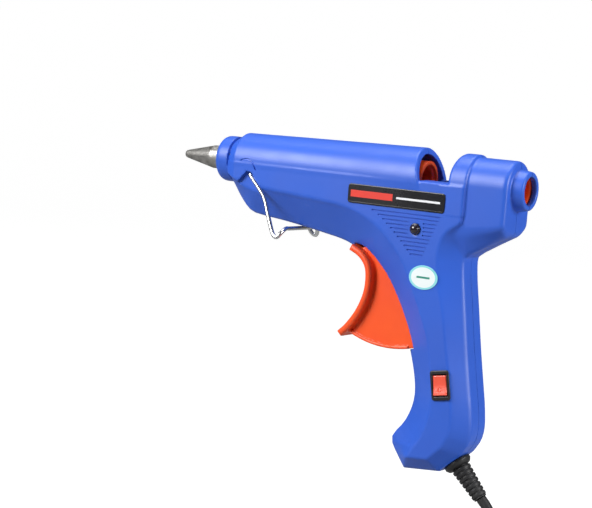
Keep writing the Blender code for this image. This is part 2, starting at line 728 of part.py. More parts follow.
def trigger():
    pivot_x, pivot_z = TRIGGER_PIVOT
    reach = [math.dist(point, TRIGGER_PIVOT) for point in trigger_front(0.0)]
    front = [point for point, far in zip(trigger_front(0.0), reach) if far < TRIGGER_R - 1]
    foot = arc(TRIGGER_PIVOT, TRIGGER_R, -119.0, -73.0, 12)
    inner = [(-11.6, 12.0), (-15.6, 22.0), (-18.6, 30.0), (pivot_x + 4.6, 42.0)]
    hub = arc(TRIGGER_PIVOT, 5.2, -30, 30, 5)
    web_outline = front + foot + inner + hub + [(pivot_x - 2, pivot_z + 5.2), (-31.0, 48.0), (-40.0, 45.6)]
    web = plate("trigger", web_outline, 0, TRIGGER_WEB_HALF)
    rim = plate("trigger_rim", trigger_front(0.0) + trigger_front(3.2)[::-1], 0, TRIGGER_RIM_HALF)
    rim_bevel = rim.modifiers.new("round", "BEVEL")
    rim_bevel.width = 0.7 * MM
    rim_bevel.segments = 1
    sole_outline = arc(TRIGGER_PIVOT, TRIGGER_R, -121.0, -103.0, 8) + arc(TRIGGER_PIVOT, TRIGGER_R - 1.4, -103.0, -121.0, 8)
    sole = plate("trigger_sole", sole_outline, 0, TRIGGER_WEB_HALF + 1.0)
    arm = block("trigger_arm", (pivot_x - 3.2, -5.4, pivot_z - 2), (pivot_x + 3.2, 5.4, 67.2))
    join(web, rim, sole, arm)
    hub_rod = rod("hub", (pivot_x, -6.2, pivot_z), (pivot_x, 6.2, pivot_z), 4.6, sides=20)
    tail = block("spring_tail", (pivot_x, -1.6, SPRING_HIGH_Z + GAP), (SPRING_X + 2.5, 1.6, 53.0))
    join(web, hub_rod, tail)
    cut(web, rod("pivot_hole", (pivot_x, -8, pivot_z), (pivot_x, 8, pivot_z), PIN_R + GAP, sides=12))
    cut(web, block("fork_gap", (-30, -3.1, 55.6), (-15, 3.1, 70)))
    cut(web, block("fork_slot", (pivot_x - 1.55, -8, 63.4), (pivot_x + 1.55, 8, 70)))
    to_mesh(web, ORANGE)
    rod("trigger_pin", (pivot_x, -11.2, pivot_z), (pivot_x, 11.2, pivot_z), PIN_R, STEEL, 16)


def return_spring():
    """An extension spring from the trigger's tail down to a post in the handle."""
    turns = 8
    per_turn = 7
    count = turns * per_turn
    points = []
    for i in range(count + 1):
        angle = 2 * math.pi * i / per_turn
        height = SPRING_LOW_Z + 0.35 + (SPRING_HIGH_Z - SPRING_LOW_Z - 0.7) * i / count
        points.append((SPRING_X + 1.9 * math.cos(angle), 1.9 * math.sin(angle), height))
    wire("return_spring", points, 0.35, STEEL, 1)


# ---------------------------------------------------------------- stand

def wire_stand():
    x, z = STAND_PIVOT
    half = [
        (x, -10.3, z), (x, -12.8, z), (x + 0.4, -13.4, z - 0.4), (x + 9.4, -14.4, z - 9.6),
        (x + 14.0, -16.2, z - 18.0), (x + 18.4, -17.8, z - 26.4), (x + 21.2, -18.4, z - 28.2),
        (x + 22.8, -17.0, z - 25.8), (x + 23.4, -14.0, z - 23.9), (x + 23.4, -11.6, z - 23.9),
    ]
    near = smooth_path(half, 20)
    far = near[::-1] * np.array((1, -1, 1))
    wire("wire_stand", [*map(tuple, near), *map(tuple, far)], WIRE_R, STEEL, 1)


# ---------------------------------------------------------------- electrics

def rocker_switch():
    bezel = plate("switch_body", switch_rectangle(*BEZEL_HALF), -15.35, 0.45)
    join(bezel, plate("switch_case", switch_rectangle(BEZEL_HALF[0] - 1.1, BEZEL_HALF[1] - 1.1), -10.4, 4.7))
    cut(bezel, plate("rocker_well", switch_rectangle(ROCKER_HALF[0] + 0.3, ROCKER_HALF[1] + 0.6), -15.2, 3.4))
    to_mesh(bezel, BLACK, flatten=True)
    shape = bmesh.new()
    half_u, half_v = ROCKER_HALF
    profile = [(-half_v, -16.9), (0.0, -15.9), (half_v, -15.6), (half_v * 0.8, -13.2), (-half_v * 0.8, -13.2)]
    rings = []
    for u in (-half_u, half_u):
        ring = []
        for v, y in profile:
            x, z = in_switch_frame(u, v)
            ring.append(shape.verts.new(Vector((x, y, z)) * MM))
        rings.append(ring)
    count = len(profile)
    for i in range(count):
        j = (i + 1) % count
        shape.faces.new((rings[0][i], rings[0][j], rings[1][j], rings[1][i]))
    shape.faces.new(rings[0])
    shape.faces.new(rings[1])
    from_bmesh("rocker", shape, CORAL)


def indicator():
    x, z = LENS_CENTRE
    turned("indicator_lens", [
        (0, 0), (0, 2.35), (5.0, 2.35), (5.0, 2.9), (5.8, 2.8), (6.6, 1.6), (6.8, 0),
    ], (x, -10.0, z), (0, -1, 0), LENS, 20)
    rod("indicator_lamp", (x, -2.6, z), (x, -9.4, z), 2.0, CERAMIC, 16)


def inner_leads():
    wire("heater_lead_live", smooth_path([
        (-73.6, 3.2, 67.0), (-70.0, 7.0, 67.0), (-60.0, 10.4, 68.0), (-44.0, 10.8, 67.4), (-23.5, 10.8, 62.4),
        (-7.2, 9.8, 50.0), (-0.6, 8.8, 32.0), (1.4, 8.0, 14.0), (1.8, 7.0, 0.0), (4.4, 4.0, -6.6),
        (8.4, -1.6, -9.4), (10.2, -4.4, -9.6),
    ], 34), 0.75, WIRE_RED, 1)
    wire("heater_lead_neutral", smooth_path([
        (-73.6, -2.2, 66.8), (-71.2, 2.0, 63.4), (-66.0, 7.6, 64.4), (-56.0, 9.8, 65.4), (-38.0, 10.0, 62.6),
        (-23.5, 10.0, 57.8), (-10.4, 9.4, 45.6), (-4.6, 8.6, 30.0), (-1.8, 7.6, 12.0), (-0.4, 6.4, -6.0),
        (1.6, 4.8, -15.6),
    ], 34), 0.75, WIRE_BLUE, 1)
    turned("wire_joint", [
        (0, 0), (0, 2.1), (7.0, 2.3), (8.6, 1.6), (9.0, 0),
    ], (1.8, 4.6, -16.7), (0.05, 0, -1), INSULATOR, 16)
    wire("cord_core_neutral", smooth_path([
        strain_point(-14.4, 1.3), (3.0, 2.4, -36.4), (1.8, 3.4, -32.0), (1.9, 4.4, -28.4), (2.2, 4.6, -26.2),
    ], 12), 0.75, WIRE_BLUE, 1)
    wire("cord_core_live", smooth_path([
        strain_point(-14.4, -1.3), (4.4, -2.6, -34.0), (5.2, -3.2, -28.0), (6.6, -3.8, -22.0),
        (9.6, -4.4, -18.0), (11.6, -4.5, -14.6),
    ], 14), 0.75, WIRE_BROWN, 1)


# ---------------------------------------------------------------- cord

def strain_relief():
    profile = [(-14.0, 0), (-14.0, 2.3), (-9.0, 2.3), (-9.0, 3.9), (0.3, 3.9), (0.3, 6.8), (1.4, 6.8), (3.2, 5.4)]
    for i in range(4):
        start = 4.0 + i * 4.0
        radius = 4.5 - 0.25 * i
        profile += [(start, radius), (start + 2.6, radius - 0.1), (start + 2.9, radius - 0.6), (start + 3.8, radius - 0.65)]
    profile += [(STRAIN_LENGTH, 3.4), (STRAIN_LENGTH, 0)]
    direction = (STRAIN_DIRECTION[0], 0, STRAIN_DIRECTION[1])
    turned("strain_relief", profile, strain_point(0), direction, RUBBER, 16)
    for index, (x, z) in enumerate(clamp_screw_places()):
        turned(f"clamp_screw_{index + 1}", [
            (-9.0, 0), (-9.0, 1.0), (0, 1.0), (0, 2.0), (1.2, 1.8), (1.5, 0),
        ], (x, 4.2, z), (0, 1, 0), STEEL, 12)


def cord_clamp():
    """The small bridge screwed over the cord inside the handle."""
    clamp_x, _, clamp_z = strain_point(CLAMP_AT)
    bar = block("cord_clamp", (-7.2, 2.7, -2.0), (7.2, 3.9, 2.0))
    tilt = math.atan2(-STRAIN_DIRECTION[0], -STRAIN_DIRECTION[1])
    bar.data.transform(Matrix.Translation(Vector((clamp_x, 0, clamp_z)) * MM) @ Matrix.Rotation(tilt, 4, "Y"))
    for x, z in clamp_screw_places():
        cut(bar, rod("clamp_hole", (x, 0, z), (x, 8, z), 1.3, sides=12))
    to_mesh(bar, STEEL)


CORD_START = strain_point(STRAIN_LENGTH + 0.3)
# The cord's own points from the strain relief to the hank, and from the hank to the plug.
LEAD_ROUTE = (
    CORD_START, strain_point(STRAIN_LENGTH + 6), (37.8, -1.6, -74.5), (41.2, -4.6, -82.5),
    (42.3, -8.2, -90.5), (42.3, -10.2, -96.9),
)
TAIL_ROUTE = (
    (42.2, 16.2, -114.0), (42.2, 16.8, -121.0), (41.4, 18.2, -130.0), (40.6, 19.6, -138.0), (40.4, 20.2, -145.0),
)
HANK_X = 27.0
HANK_TOP_Z = -92.0
HANK_BOTTOM_Z = -184.0
HANK_HALF_WIDTH = 18.0
HANK_HALF_DEPTH = 13.2
PLUG_TOP = (40.4, 20.2, -145.3)
PIN_SPACING = 18.6


def cord():
    wire("cord_lead", [tuple(p) for p in smooth_path(LEAD_ROUTE, 16)], CORD_R, RUBBER)
    wire("cord_tail", [tuple(p) for p in smooth_path(TAIL_ROUTE, 12)], CORD_R, RUBBER)
    radius = HANK_HALF_WIDTH
    top = HANK_TOP_Z - radius
    bottom = HANK_BOTTOM_Z + radius
    outline = arc((HANK_X, top), radius, 0, 180, 13) + arc((HANK_X, bottom), radius, 180, 360, 13)
    plate("cord_hank", outline, 0, HANK_HALF_DEPTH, RUBBER)
    middle = (top + bottom) / 2
    tie = ring_band("cord_tie", radius + 0.3, HANK_HALF_DEPTH + 0.3, 0.9, middle, 2.6)
    to_mesh(tie, BLACK)


def ring_band(name, half_x, half_y, thick, centre_z, half_height):
    """A rectangular band round the hank."""
    low = (HANK_X - half_x - thick, -half_y - thick, centre_z - half_height)
    high = (HANK_X + half_x + thick, half_y + thick, centre_z + half_height)
    band = block(name, low, high)
    hole = block(
        "band_hole", (HANK_X - half_x, -half_y, centre_z - 9), (HANK_X + half_x, half_y, centre_z + 9)
    )
    return cut(band, hole)


def plug():
    """A flat two-pin plug, which hangs behind the hank."""
    x, y, z = PLUG_TOP
    outline = [
        (x - 4.2, z), (x - 5.2, z - 10), (x - 10.5, z - 22), (x - 17.6, z - 31), (x - 17.6, z - 38),
        (x + 17.6, z - 38), (x + 17.6, z - 31), (x + 10.5, z - 22), (x + 5.2, z - 10), (x + 4.2, z),
    ]
    body = plate("plug_body", outline[::-1], y, 6.6)
    soften = body.modifiers.new("soften", "BEVEL")
    soften.width = 1.6 * MM
    soften.segments = 2
    to_mesh(body, BLACK)
    for index, side in enumerate((-1, 1)):
        pin_x = x + side * PIN_SPACING / 2
        rod(f"plug_pin_{index + 1}", (pin_x, y, z - 38.3), (pin_x, y, z - 57.0), 2.0, BRASS, 12)


# ---------------------------------------------------------------- fasteners and trim

def housing_screws():
    for index, (x, z, seat) in enumerate(SCREWS):
        reach = seat + GAP + 5.0
        turned(f"housing_screw_{index + 1}", [
            (-reach, 0), (0.5 - reach, 1.2), (0, 1.2), (0, 2.5), (1.2, 2.4), (1.8, 1.4), (2.0, 0),
        ], (x, seat + GAP, z), (0, 1, 0), STEEL, 12)


def labels():
    low_x, low_z = LABEL_LOW
    high_x, high_z = LABEL_HIGH
    block("name_label", (low_x, -HALF_BODY - 0.35, low_z), (high_x, -HALF_BODY - 0.1, high_z), LABEL_INK)
    oval = [
        (STICKER_CENTRE[0] + STICKER_HALF[0] * math.cos(a), STICKER_CENTRE[1] + STICKER_HALF[1] * math.sin(a))
        for a in np.linspace(0, 2 * math.pi, 28, endpoint=False)
    ]
    plate("oval_sticker", oval, -HALF_BODY - 0.2, 0.1, STICKER)


def build():
    housing(-1)
    housing(1)
    hot_end()
    feed_carriage()
    clamp_jaw()
    rear_guide()
    trigger()
    return_spring()
    wire_stand()
    rocker_switch()
    indicator()
    inner_leads()
    strain_relief()
    cord_clamp()
    cord()
    plug()
    housing_screws()
    labels()


if __name__ == "__main__":
    build()
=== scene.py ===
"""Hot-melt glue gun: the finished surfaces that go over its CAD frame.

Lengths here are millimetres until a mesh is written, and metres in Blender. The frame is
the CAD's: -X is the way the nozzle points, +Y is the gun's right-hand side, +Z is up.
"""

from __future__ import annotations

import json
import logging
import math
from dataclasses import dataclass, field
from enum import Enum
from typing import Callable, Sequence

import bmesh
import bpy
import numpy as np
from mathutils import Matrix, Vector

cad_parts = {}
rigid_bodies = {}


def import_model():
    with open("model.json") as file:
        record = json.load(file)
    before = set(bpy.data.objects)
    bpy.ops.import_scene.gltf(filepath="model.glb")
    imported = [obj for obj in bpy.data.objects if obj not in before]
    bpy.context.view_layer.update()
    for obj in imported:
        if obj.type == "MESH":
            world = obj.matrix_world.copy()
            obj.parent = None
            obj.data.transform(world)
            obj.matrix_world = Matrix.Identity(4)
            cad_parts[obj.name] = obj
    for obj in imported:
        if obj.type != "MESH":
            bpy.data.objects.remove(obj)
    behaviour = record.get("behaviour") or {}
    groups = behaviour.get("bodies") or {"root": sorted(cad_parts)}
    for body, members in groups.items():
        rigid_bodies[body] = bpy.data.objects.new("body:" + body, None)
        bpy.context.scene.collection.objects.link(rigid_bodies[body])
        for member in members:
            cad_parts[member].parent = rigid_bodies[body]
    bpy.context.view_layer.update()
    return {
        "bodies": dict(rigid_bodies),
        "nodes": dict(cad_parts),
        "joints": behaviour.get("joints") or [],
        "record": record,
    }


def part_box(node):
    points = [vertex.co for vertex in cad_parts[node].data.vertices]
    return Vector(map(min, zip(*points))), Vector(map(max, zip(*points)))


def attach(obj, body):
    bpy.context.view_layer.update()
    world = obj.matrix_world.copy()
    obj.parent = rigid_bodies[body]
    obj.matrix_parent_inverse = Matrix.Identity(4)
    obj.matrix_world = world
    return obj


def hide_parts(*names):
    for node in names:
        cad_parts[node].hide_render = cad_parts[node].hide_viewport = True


MM = 0.001
AXIS_Z = 80.0
LOG = logging.getLogger("glue_gun")
Array = np.ndarray
Point = tuple[float, float, float]


class Body(str, Enum):
    """The bodies of the frame that a piece can ride on."""

    GUN = "gun_body"
    TRIGGER = "trigger"
    CARRIAGE = "feed_carriage"
    JAW = "clamp_jaw"
    STAND = "wire_stand"
    ROCKER = "rocker"


# ---------------------------------------------------------------- curves and distances

def smooth_path(points: Sequence[Sequence[float]], count: int) -> Array:
    """Points spaced evenly along a Catmull-Rom curve: each span is the cubic through its own
    two points whose slope at each is half the step between that point's neighbours.

    Args:
        points: the given points, of two or three coordinates.
        count: how many points to return.
    Returns:
        An array of count rows.
    """
    given = np.array(points, float)
    padded = np.vstack([2 * given[0] - given[1], given, 2 * given[-1] - given[-2]])
    t = np.linspace(0, 1, 24, endpoint=False)[:, None]
    runs = []
    for a, b, c, d in zip(padded, padded[1:], padded[2:], padded[3:]):
        bend = 2 * a - 5 * b + 4 * c - d
        turn = 3 * b - a - 3 * c + d
        runs.append(b + 0.5 * ((c - a) * t + bend * t**2 + turn * t**3))
    dense = np.vstack([*runs, given[-1:]])
    along = np.concatenate([[0], np.cumsum(np.linalg.norm(np.diff(dense, axis=0), axis=1))])
    wanted = np.linspace(0, along[-1], count)
    return np.stack([np.interp(wanted, along, dense[:, k]) for k in range(given.shape[1])], 1)


def arc(centre: Sequence[float], radius: float, start: float, end: float, count: int) -> Array:
    """Points on a circle: centre plus radius times the cosine and sine of evenly spaced angles.

    Args:
        centre: the circle's centre in its plane.
        radius: the circle's radius.
        start: first angle in degrees, from the first axis towards the second.
        end: last angle in degrees.
        count: how many points.
    Returns:
        An array of count rows of two coordinates.
    """
    angles = np.radians(np.linspace(start, end, count))
    return np.stack([centre[0] + radius * np.cos(angles), centre[1] + radius * np.sin(angles)], 1)


def smooth_max(a: Array, b: Array | float, round_by: float) -> Array:
    """The larger of two distances with the corner between them rounded: where they differ by
    less than round_by, a quarter of the squared shortfall is added."""
    near = np.maximum(round_by - np.abs(a - b), 0.0)
    return np.maximum(a, b) + near * near / (4.0 * round_by)


def smooth_min(a: Array, b: Array | float, round_by: float) -> Array:
    """The smaller of two distances with a fillet of about round_by between them."""
    return -smooth_max(-a, -b, round_by)


def loop_distance(x: Array, z: Array, loop: Array, values: Array | None = None) -> tuple[Array, Array]:
    """Distance to a closed polygon in a plane, negative inside, by the nearest point of every
    edge and the crossing count of a ray.

    Args:
        x: first coordinates.
        z: second coordinates, of the same shape.
        loop: the polygon's corners.
        values: a value at each corner, carried to the nearest point.
    Returns:
        The signed distances, and the value at each nearest point.
    """
    ends = np.roll(loop, -1, axis=0)
    worth = np.zeros(len(loop)) if values is None else values
    best = np.full(x.shape, 1e9)
    carried = np.zeros(x.shape)
    inside = np.zeros(x.shape, bool)
    for a, b, va, vb in zip(loop, ends, worth, np.roll(worth, -1)):
        step = b - a
        size = float(step @ step)
        if size < 1e-12:
            continue
        share = np.clip(((x - a[0]) * step[0] + (z - a[1]) * step[1]) / size, 0, 1)
        away = np.hypot(x - a[0] - share * step[0], z - a[1] - share * step[1])
        closer = away < best
        best = np.where(closer, away, best)
        carried = np.where(closer, va + (vb - va) * share, carried)
        if abs(step[1]) > 1e-9:
            crosses = (a[1] > z) != (b[1] > z)
            inside ^= crosses & (x < a[0] + step[0] * (z - a[1]) / step[1])
    return np.where(inside, -best, best), carried


def blur(values: Array, pitch: float, spread: float) -> Array:
    """A raster smoothed along both axes with a bell curve of the given spread."""
    reach = int(math.ceil(3 * spread / pitch))
    weights = np.exp(-0.5 * (np.arange(-reach, reach + 1) * pitch / spread) ** 2)
    weights /= weights.sum()
    for axis in (0, 1):
        padded = np.pad(values, [(reach, reach) if k == axis else (0, 0) for k in (0, 1)], mode="edge")
        size = values.shape[axis]
        values = sum(w * np.take(padded, np.arange(i, i + size), axis=axis) for i, w in enumerate(weights))
    return values


@dataclass
class Raster:
    """A value over the gun's side view, read between its samples by straight-line weights."""

    low: tuple[float, float]
    pitch: float
    values: Array

    def at(self, x: Array, z: Array) -> Array:
        """The value at each (x, z)."""
        u = np.clip((x - self.low[0]) / self.pitch, 0, self.values.shape[0] - 1.001)
        v = np.clip((z - self.low[1]) / self.pitch, 0, self.values.shape[1] - 1.001)
        i, j = u.astype(int), v.astype(int)
        u, v = u - i, v - j
        grid = self.values
        low = grid[i, j] * (1 - u) + grid[i + 1, j] * u
        high = grid[i, j + 1] * (1 - u) + grid[i + 1, j + 1] * u
        return low * (1 - v) + high * v


Solid = Callable[[Array, Array, Array], Array]


def contour(solid: Solid, low: Point, high: Point, pitch: float, fidelity: float = 0.08) -> tuple[Array, Array]:
    """The surface where a solid's distance is zero, by dual contouring: each grid cell that the
    surface crosses gets the point closest to the tangent planes at its crossed edges, and each
    crossed edge gets the square between its four cells.

    Args:
        solid: distance as a function of x, y and z, negative inside.
        low: lowest corner of the grid, outside the solid.
        high: highest corner of the grid, outside the solid.
        pitch: spacing of the grid.
        fidelity: how strongly a point is drawn to the middle of its edge crossings.
    Returns:
        The points, and the squares as rows of four point numbers, facing outwards.
    """
    axes = [np.arange(a, b + pitch, pitch) for a, b in zip(low, high)]
    shape = tuple(len(axis) for axis in axes)
    value = solid(axes[0][:, None, None], axes[1][None, :, None], axes[2][None, None, :])
    value = np.broadcast_to(value, shape)
    inside = value < 0
    cells, places, squares = [], [], []
    for axis in range(3):
        one, two = (axis + 1) % 3, (axis + 2) % 3
        first = np.take(inside, np.arange(shape[axis] - 1), axis)
        second = np.take(inside, np.arange(1, shape[axis]), axis)
        where = np.argwhere(first != second)
        where = where[
            (where[:, one] > 0) & (where[:, two] > 0) & (where[:, one] < shape[one] - 1) & (where[:, two] < shape[two] - 1)
        ]
        after = where.copy()
        after[:, axis] += 1
        f0, f1 = value[tuple(where.T)], value[tuple(after.T)]
        place = np.stack([axes[k][where[:, k]] for k in range(3)], 1)
        place[:, axis] += pitch * f0 / (f0 - f1)
        around = []
        for back_one, back_two in ((1, 1), (0, 1), (0, 0), (1, 0)):
            cell = where.copy()
            cell[:, one] -= back_one
            cell[:, two] -= back_two
            around.append(np.ravel_multi_index(tuple(cell.T), shape))
        corner = np.stack(around, 1)
        squares.append(np.where((f0 < 0)[:, None], corner, corner[:, ::-1]))
        cells.append(corner)
        places.append(place)
    square = np.vstack(squares)
    place = np.vstack(places)
    nudge = 0.25 * pitch
    slope = np.stack([
        solid(*(place + nudge * unit).T) - solid(*(place - nudge * unit).T) for unit in np.eye(3)
    ], 1)
    slope /= np.maximum(np.linalg.norm(slope, axis=1), 1e-9)[:, None]
    names, index = np.unique(np.vstack(cells).reshape(-1), return_inverse=True)
    index = index.reshape(-1)
    edge = np.repeat(np.arange(len(place)), 4)
    total = len(names)
    count = np.bincount(index, minlength=total)
    middle = np.stack([np.bincount(index, place[edge, k], total) for k in range(3)], 1) / count[:, None]
    offset = ((place[edge] - middle[index]) * slope[edge]).sum(1)
    pull = np.stack([np.bincount(index, slope[edge, k] * offset, total) for k in range(3)], 1)
    system = np.zeros((total, 3, 3))
    for i in range(3):
        for j in range(i, 3):
            system[:, i, j] = system[:, j, i] = np.bincount(index, slope[edge, i] * slope[edge, j], total)
    system += np.eye(3) * (fidelity * count)[:, None, None]
    shift = np.linalg.solve(system, pull[:, :, None])[:, :, 0]
    points = middle + shift
    corner = np.stack(np.unravel_index(names, shape), 1) * pitch + np.array([axis[0] for axis in axes])
    points = np.clip(points, corner - 0.05 * pitch, corner + 1.05 * pitch)
    return points, np.searchsorted(names, square)


# ---------------------------------------------------------------- meshes

def new_object(name: str, data: bpy.types.ID) -> bpy.types.Object:
    """An object at the origin, in the scene."""
    made = bpy.data.objects.new(name, data)
    bpy.context.scene.collection.objects.link(made)
    return made


def mesh_piece(name: str, points: Array, faces: Array | list, smooth: bool = True) -> bpy.types.Object:
    """An object from points in millimetres and faces, welded where points coincide.

    Args:
        name: the piece's name.
        points: rows of x, y, z.
        faces: rows of point numbers.
        smooth: whether faces are shaded as one surface.
    Returns:
        The object.
    """
    mesh = bpy.data.meshes.new(name)
    mesh.from_pydata((np.asarray(points) * MM).tolist(), [], faces if isinstance(faces, list) else faces.tolist())
    made = new_object(name, mesh)
    tidy_mesh(mesh)
    mesh.polygons.foreach_set("use_smooth", [smooth] * len(mesh.polygons))
    return made


def tidy_mesh(mesh: bpy.types.Mesh, weld: float = 2e-6) -> None:
    """Merges coincident points, drops empty faces and turns every face outwards."""
    shape = bmesh.new()
    shape.from_mesh(mesh)
    bmesh.ops.remove_doubles(shape, verts=shape.verts, dist=weld)
    bmesh.ops.dissolve_degenerate(shape, edges=shape.edges, dist=weld / 2)
    bmesh.ops.recalc_face_normals(shape, faces=shape.faces)
    if shape.calc_volume(signed=True) < 0:
        bmesh.ops.reverse_faces(shape, faces=shape.faces)
    shape.to_mesh(mesh)
    shape.free()


def solid_piece(name: str, solid: Solid, low: Point, high: Point, pitch: float) -> bpy.types.Object:
    """An object from a solid's distance function. See contour."""
    points, squares = contour(solid, low, high, pitch)
    return mesh_piece(name, points, squares)


def grid_faces(rows: int, columns: int, wrap: bool = True) -> Array:
    """Squares between neighbouring rows and columns of a grid, the columns wrapping round."""
    i, j = np.meshgrid(np.arange(rows - 1), np.arange(columns if wrap else columns - 1), indexing="ij")
    i, j = i.ravel(), j.ravel()
    k = (j + 1) % columns
    return np.stack([i * columns + j, i * columns + k, (i + 1) * columns + k, (i + 1) * columns + j], 1)


def lathe(name: str, profile: Sequence[tuple[float, float]], place: Point, direction: Point, sides: int = 48) -> bpy.types.Object:
    """A turned shape: each (along, radius) point of the profile is swept round the line from
    place along direction, at the radius times the cosine and sine of evenly spaced angles.

    Args:
        name: the piece's name.
        profile: points that start and end at radius zero.
        place: where along is zero.
        direction: the axis.
        sides: how many points round.
    Returns:
        The object.
    """
    along, radius = np.array(profile, float).T
    unit = np.array(direction, float) / np.linalg.norm(direction)
    side = np.cross(unit, (0.0, 1.0, 0.0) if abs(unit[1]) < 0.9 else (1.0, 0.0, 0.0))
    side /= np.linalg.norm(side)
    angle = np.linspace(0, 2 * math.pi, sides, endpoint=False)
    ring = np.cos(angle)[:, None] * side + np.sin(angle)[:, None] * np.cross(unit, side)
    grid = np.array(place) + along[:, None, None] * unit + radius[:, None, None] * ring
    return mesh_piece(name, grid.reshape(-1, 3), grid_faces(len(along), sides))


def rounded(profile: Sequence[tuple[float, float]], radius: float, steps: int = 4) -> list[tuple[float, float]]:
    """The open profile with each inner corner replaced by a quadratic curve that starts and
    ends radius away from the corner, or less on a short side."""
    points = np.array(profile, float)
    out = [points[0]]
    t = np.linspace(0, 1, steps + 1)[:, None]
    for before, corner, after in zip(points, points[1:], points[2:]):
        back, ahead = before - corner, after - corner
        reach_back = min(radius / max(np.linalg.norm(back), 1e-9), 0.45)
        reach_ahead = min(radius / max(np.linalg.norm(ahead), 1e-9), 0.45)
        start, end = corner + back * reach_back, corner + ahead * reach_ahead
        out.extend((1 - t) ** 2 * start + 2 * t * (1 - t) * corner + t**2 * end)
    return [tuple(p) for p in [*out, points[-1]]]


def curve_piece(name: str, points: Array, radius: float, resolution: int = 4, as_mesh: bool = True) -> bpy.types.Object:
    """A round wire through points in millimetres, with flat ends.

    Args:
        name: the piece's name.
        points: rows of x, y, z.
        radius: the wire's radius.
        resolution: Blender's bevel resolution.
        as_mesh: whether the curve becomes a mesh.
    Returns:
        The object.
    """
    curve = bpy.data.curves.new(name, "CURVE")
    curve.dimensions = "3D"
    curve.bevel_depth = radius * MM
    curve.bevel_resolution = resolution
    curve.use_fill_caps = True
    spline = curve.splines.new("POLY")
    spline.points.add(len(points) - 1)
    spline.points.foreach_set("co", np.column_stack([np.asarray(points) * MM, np.ones(len(points))]).ravel())
    spline.use_smooth = True
    made = new_object(name, curve)
    if not as_mesh:
        return made
    bpy.context.view_layer.update()
    mesh = bpy.data.meshes.new_from_object(made.evaluated_get(bpy.context.evaluated_depsgraph_get()))
    bpy.data.objects.remove(made)
    tidy_mesh(mesh)
    mesh.polygons.foreach_set("use_smooth", [True] * len(mesh.polygons))
    return new_object(name, mesh)


def boxes(name: str, bounds: Sequence[tuple[Point, Point]]) -> bpy.types.Object:
    """Several boxes between pairs of corners, as one mesh: each corner takes its x, y and z
    from the low or the high corner by the bits of its number."""
    bits = np.array([[(k >> axis) & 1 for axis in range(3)] for k in range(8)])
    ends = np.array(bounds, float)
    points = ends[:, :1] + bits[None] * (ends[:, 1:] - ends[:, :1])
    faces = np.array([(0, 2, 3, 1), (4, 5, 7, 6), (0, 1, 5, 4), (2, 6, 7, 3), (0, 4, 6, 2), (1, 3, 7, 5)])
    every = (faces[None] + 8 * np.arange(len(ends))[:, None, None]).reshape(-1, 4)
    return mesh_piece(name, points.reshape(-1, 3), every, smooth=False)


def join_meshes(target: bpy.types.Object, others: Sequence[bpy.types.Object]) -> bpy.types.Object:
    """Adds the other objects' meshes and materials to the target's mesh, and removes them."""
    shape = bmesh.new()
    shape.from_mesh(target.data)
    for other in others:
        base = len(target.data.materials)
        for material in other.data.materials:
            target.data.materials.append(material)
        start = len(shape.faces)
        shape.from_mesh(other.data)
        shape.faces.ensure_lookup_table()
        for face in shape.faces[start:]:
            face.material_index += base
        bpy.data.objects.remove(other)
    shape.to_mesh(target.data)
    shape.free()
    return target


def carve(target: bpy.types.Object, cutter: bpy.types.Object) -> None:
    """Cuts the cutter's volume out of the target, and removes the cutter."""
    step = target.modifiers.new("carve", "BOOLEAN")
    step.operation = "DIFFERENCE"
    step.solver = "EXACT"
    step.object = cutter
    bpy.context.view_layer.update()
    graph = bpy.context.evaluated_depsgraph_get()
    cut = bpy.data.meshes.new_from_object(target.evaluated_get(graph))
    target.modifiers.clear()
    target.data = cut
    bpy.data.objects.remove(cutter)
    tidy_mesh(cut)


# ---------------------------------------------------------------- finishes

class Tree:
    """Short calls for building one node tree."""

    def __init__(self, tree: bpy.types.NodeTree) -> None:
        """Keeps the tree to build in."""
        self.tree = tree

    def add(self, kind: str, **settings: object) -> bpy.types.Node:
        """A node of the kind, with its settings, and its inputs by name with spaces as underscores."""
        node = self.tree.nodes.new(kind)
        for key, value in settings.items():
            if hasattr(node, key):
                setattr(node, key, value)
            else:
                node.inputs[key.replace("_", " ")].default_value = value
        return node

    def link(self, source: bpy.types.NodeSocket, target: bpy.types.NodeSocket) -> None:
        """Joins two sockets."""
        self.tree.links.new(source, target)

    def ramp(self, source: bpy.types.NodeSocket, low: float, high: float, to_low: float = 0.0, to_high: float = 1.0) -> bpy.types.NodeSocket:
        """The source carried from the range low..high to to_low..to_high, and held there outside."""
        node = self.add("ShaderNodeMapRange")
        for socket, value in zip(("From Min", "From Max", "To Min", "To Max"), (low, high, to_low, to_high)):
            node.inputs[socket].default_value = value
        self.link(source, node.inputs["Value"])
        return node.outputs["Result"]

    def mix(self, factor: bpy.types.NodeSocket, one: object, two: object) -> bpy.types.NodeSocket:
        """One colour turning into another by the factor. Each is a colour or a socket."""
        node = self.add("ShaderNodeMix", data_type="RGBA")
        self.link(factor, node.inputs["Factor"])
        for key, colour in (("A", one), ("B", two)):
            socket = next(s for s in node.inputs if s.name == key and s.type == "RGBA")
            if isinstance(colour, bpy.types.NodeSocket):
                self.link(colour, socket)
            else:
                socket.default_value = (*colour, 1.0)
        return next(s for s in node.outputs if s.type == "RGBA")

    def math(self, operation: str, one: object, two: object = 0.0) -> bpy.types.NodeSocket:
        """A sum of two sockets or numbers."""
        node = self.add("ShaderNodeMath", operation=operation)
        for socket, value in zip(node.inputs, (one, two)):
            if isinstance(value, bpy.types.NodeSocket):
                self.link(value, socket)
            else:
                socket.default_value = value
        return node.outputs[0]


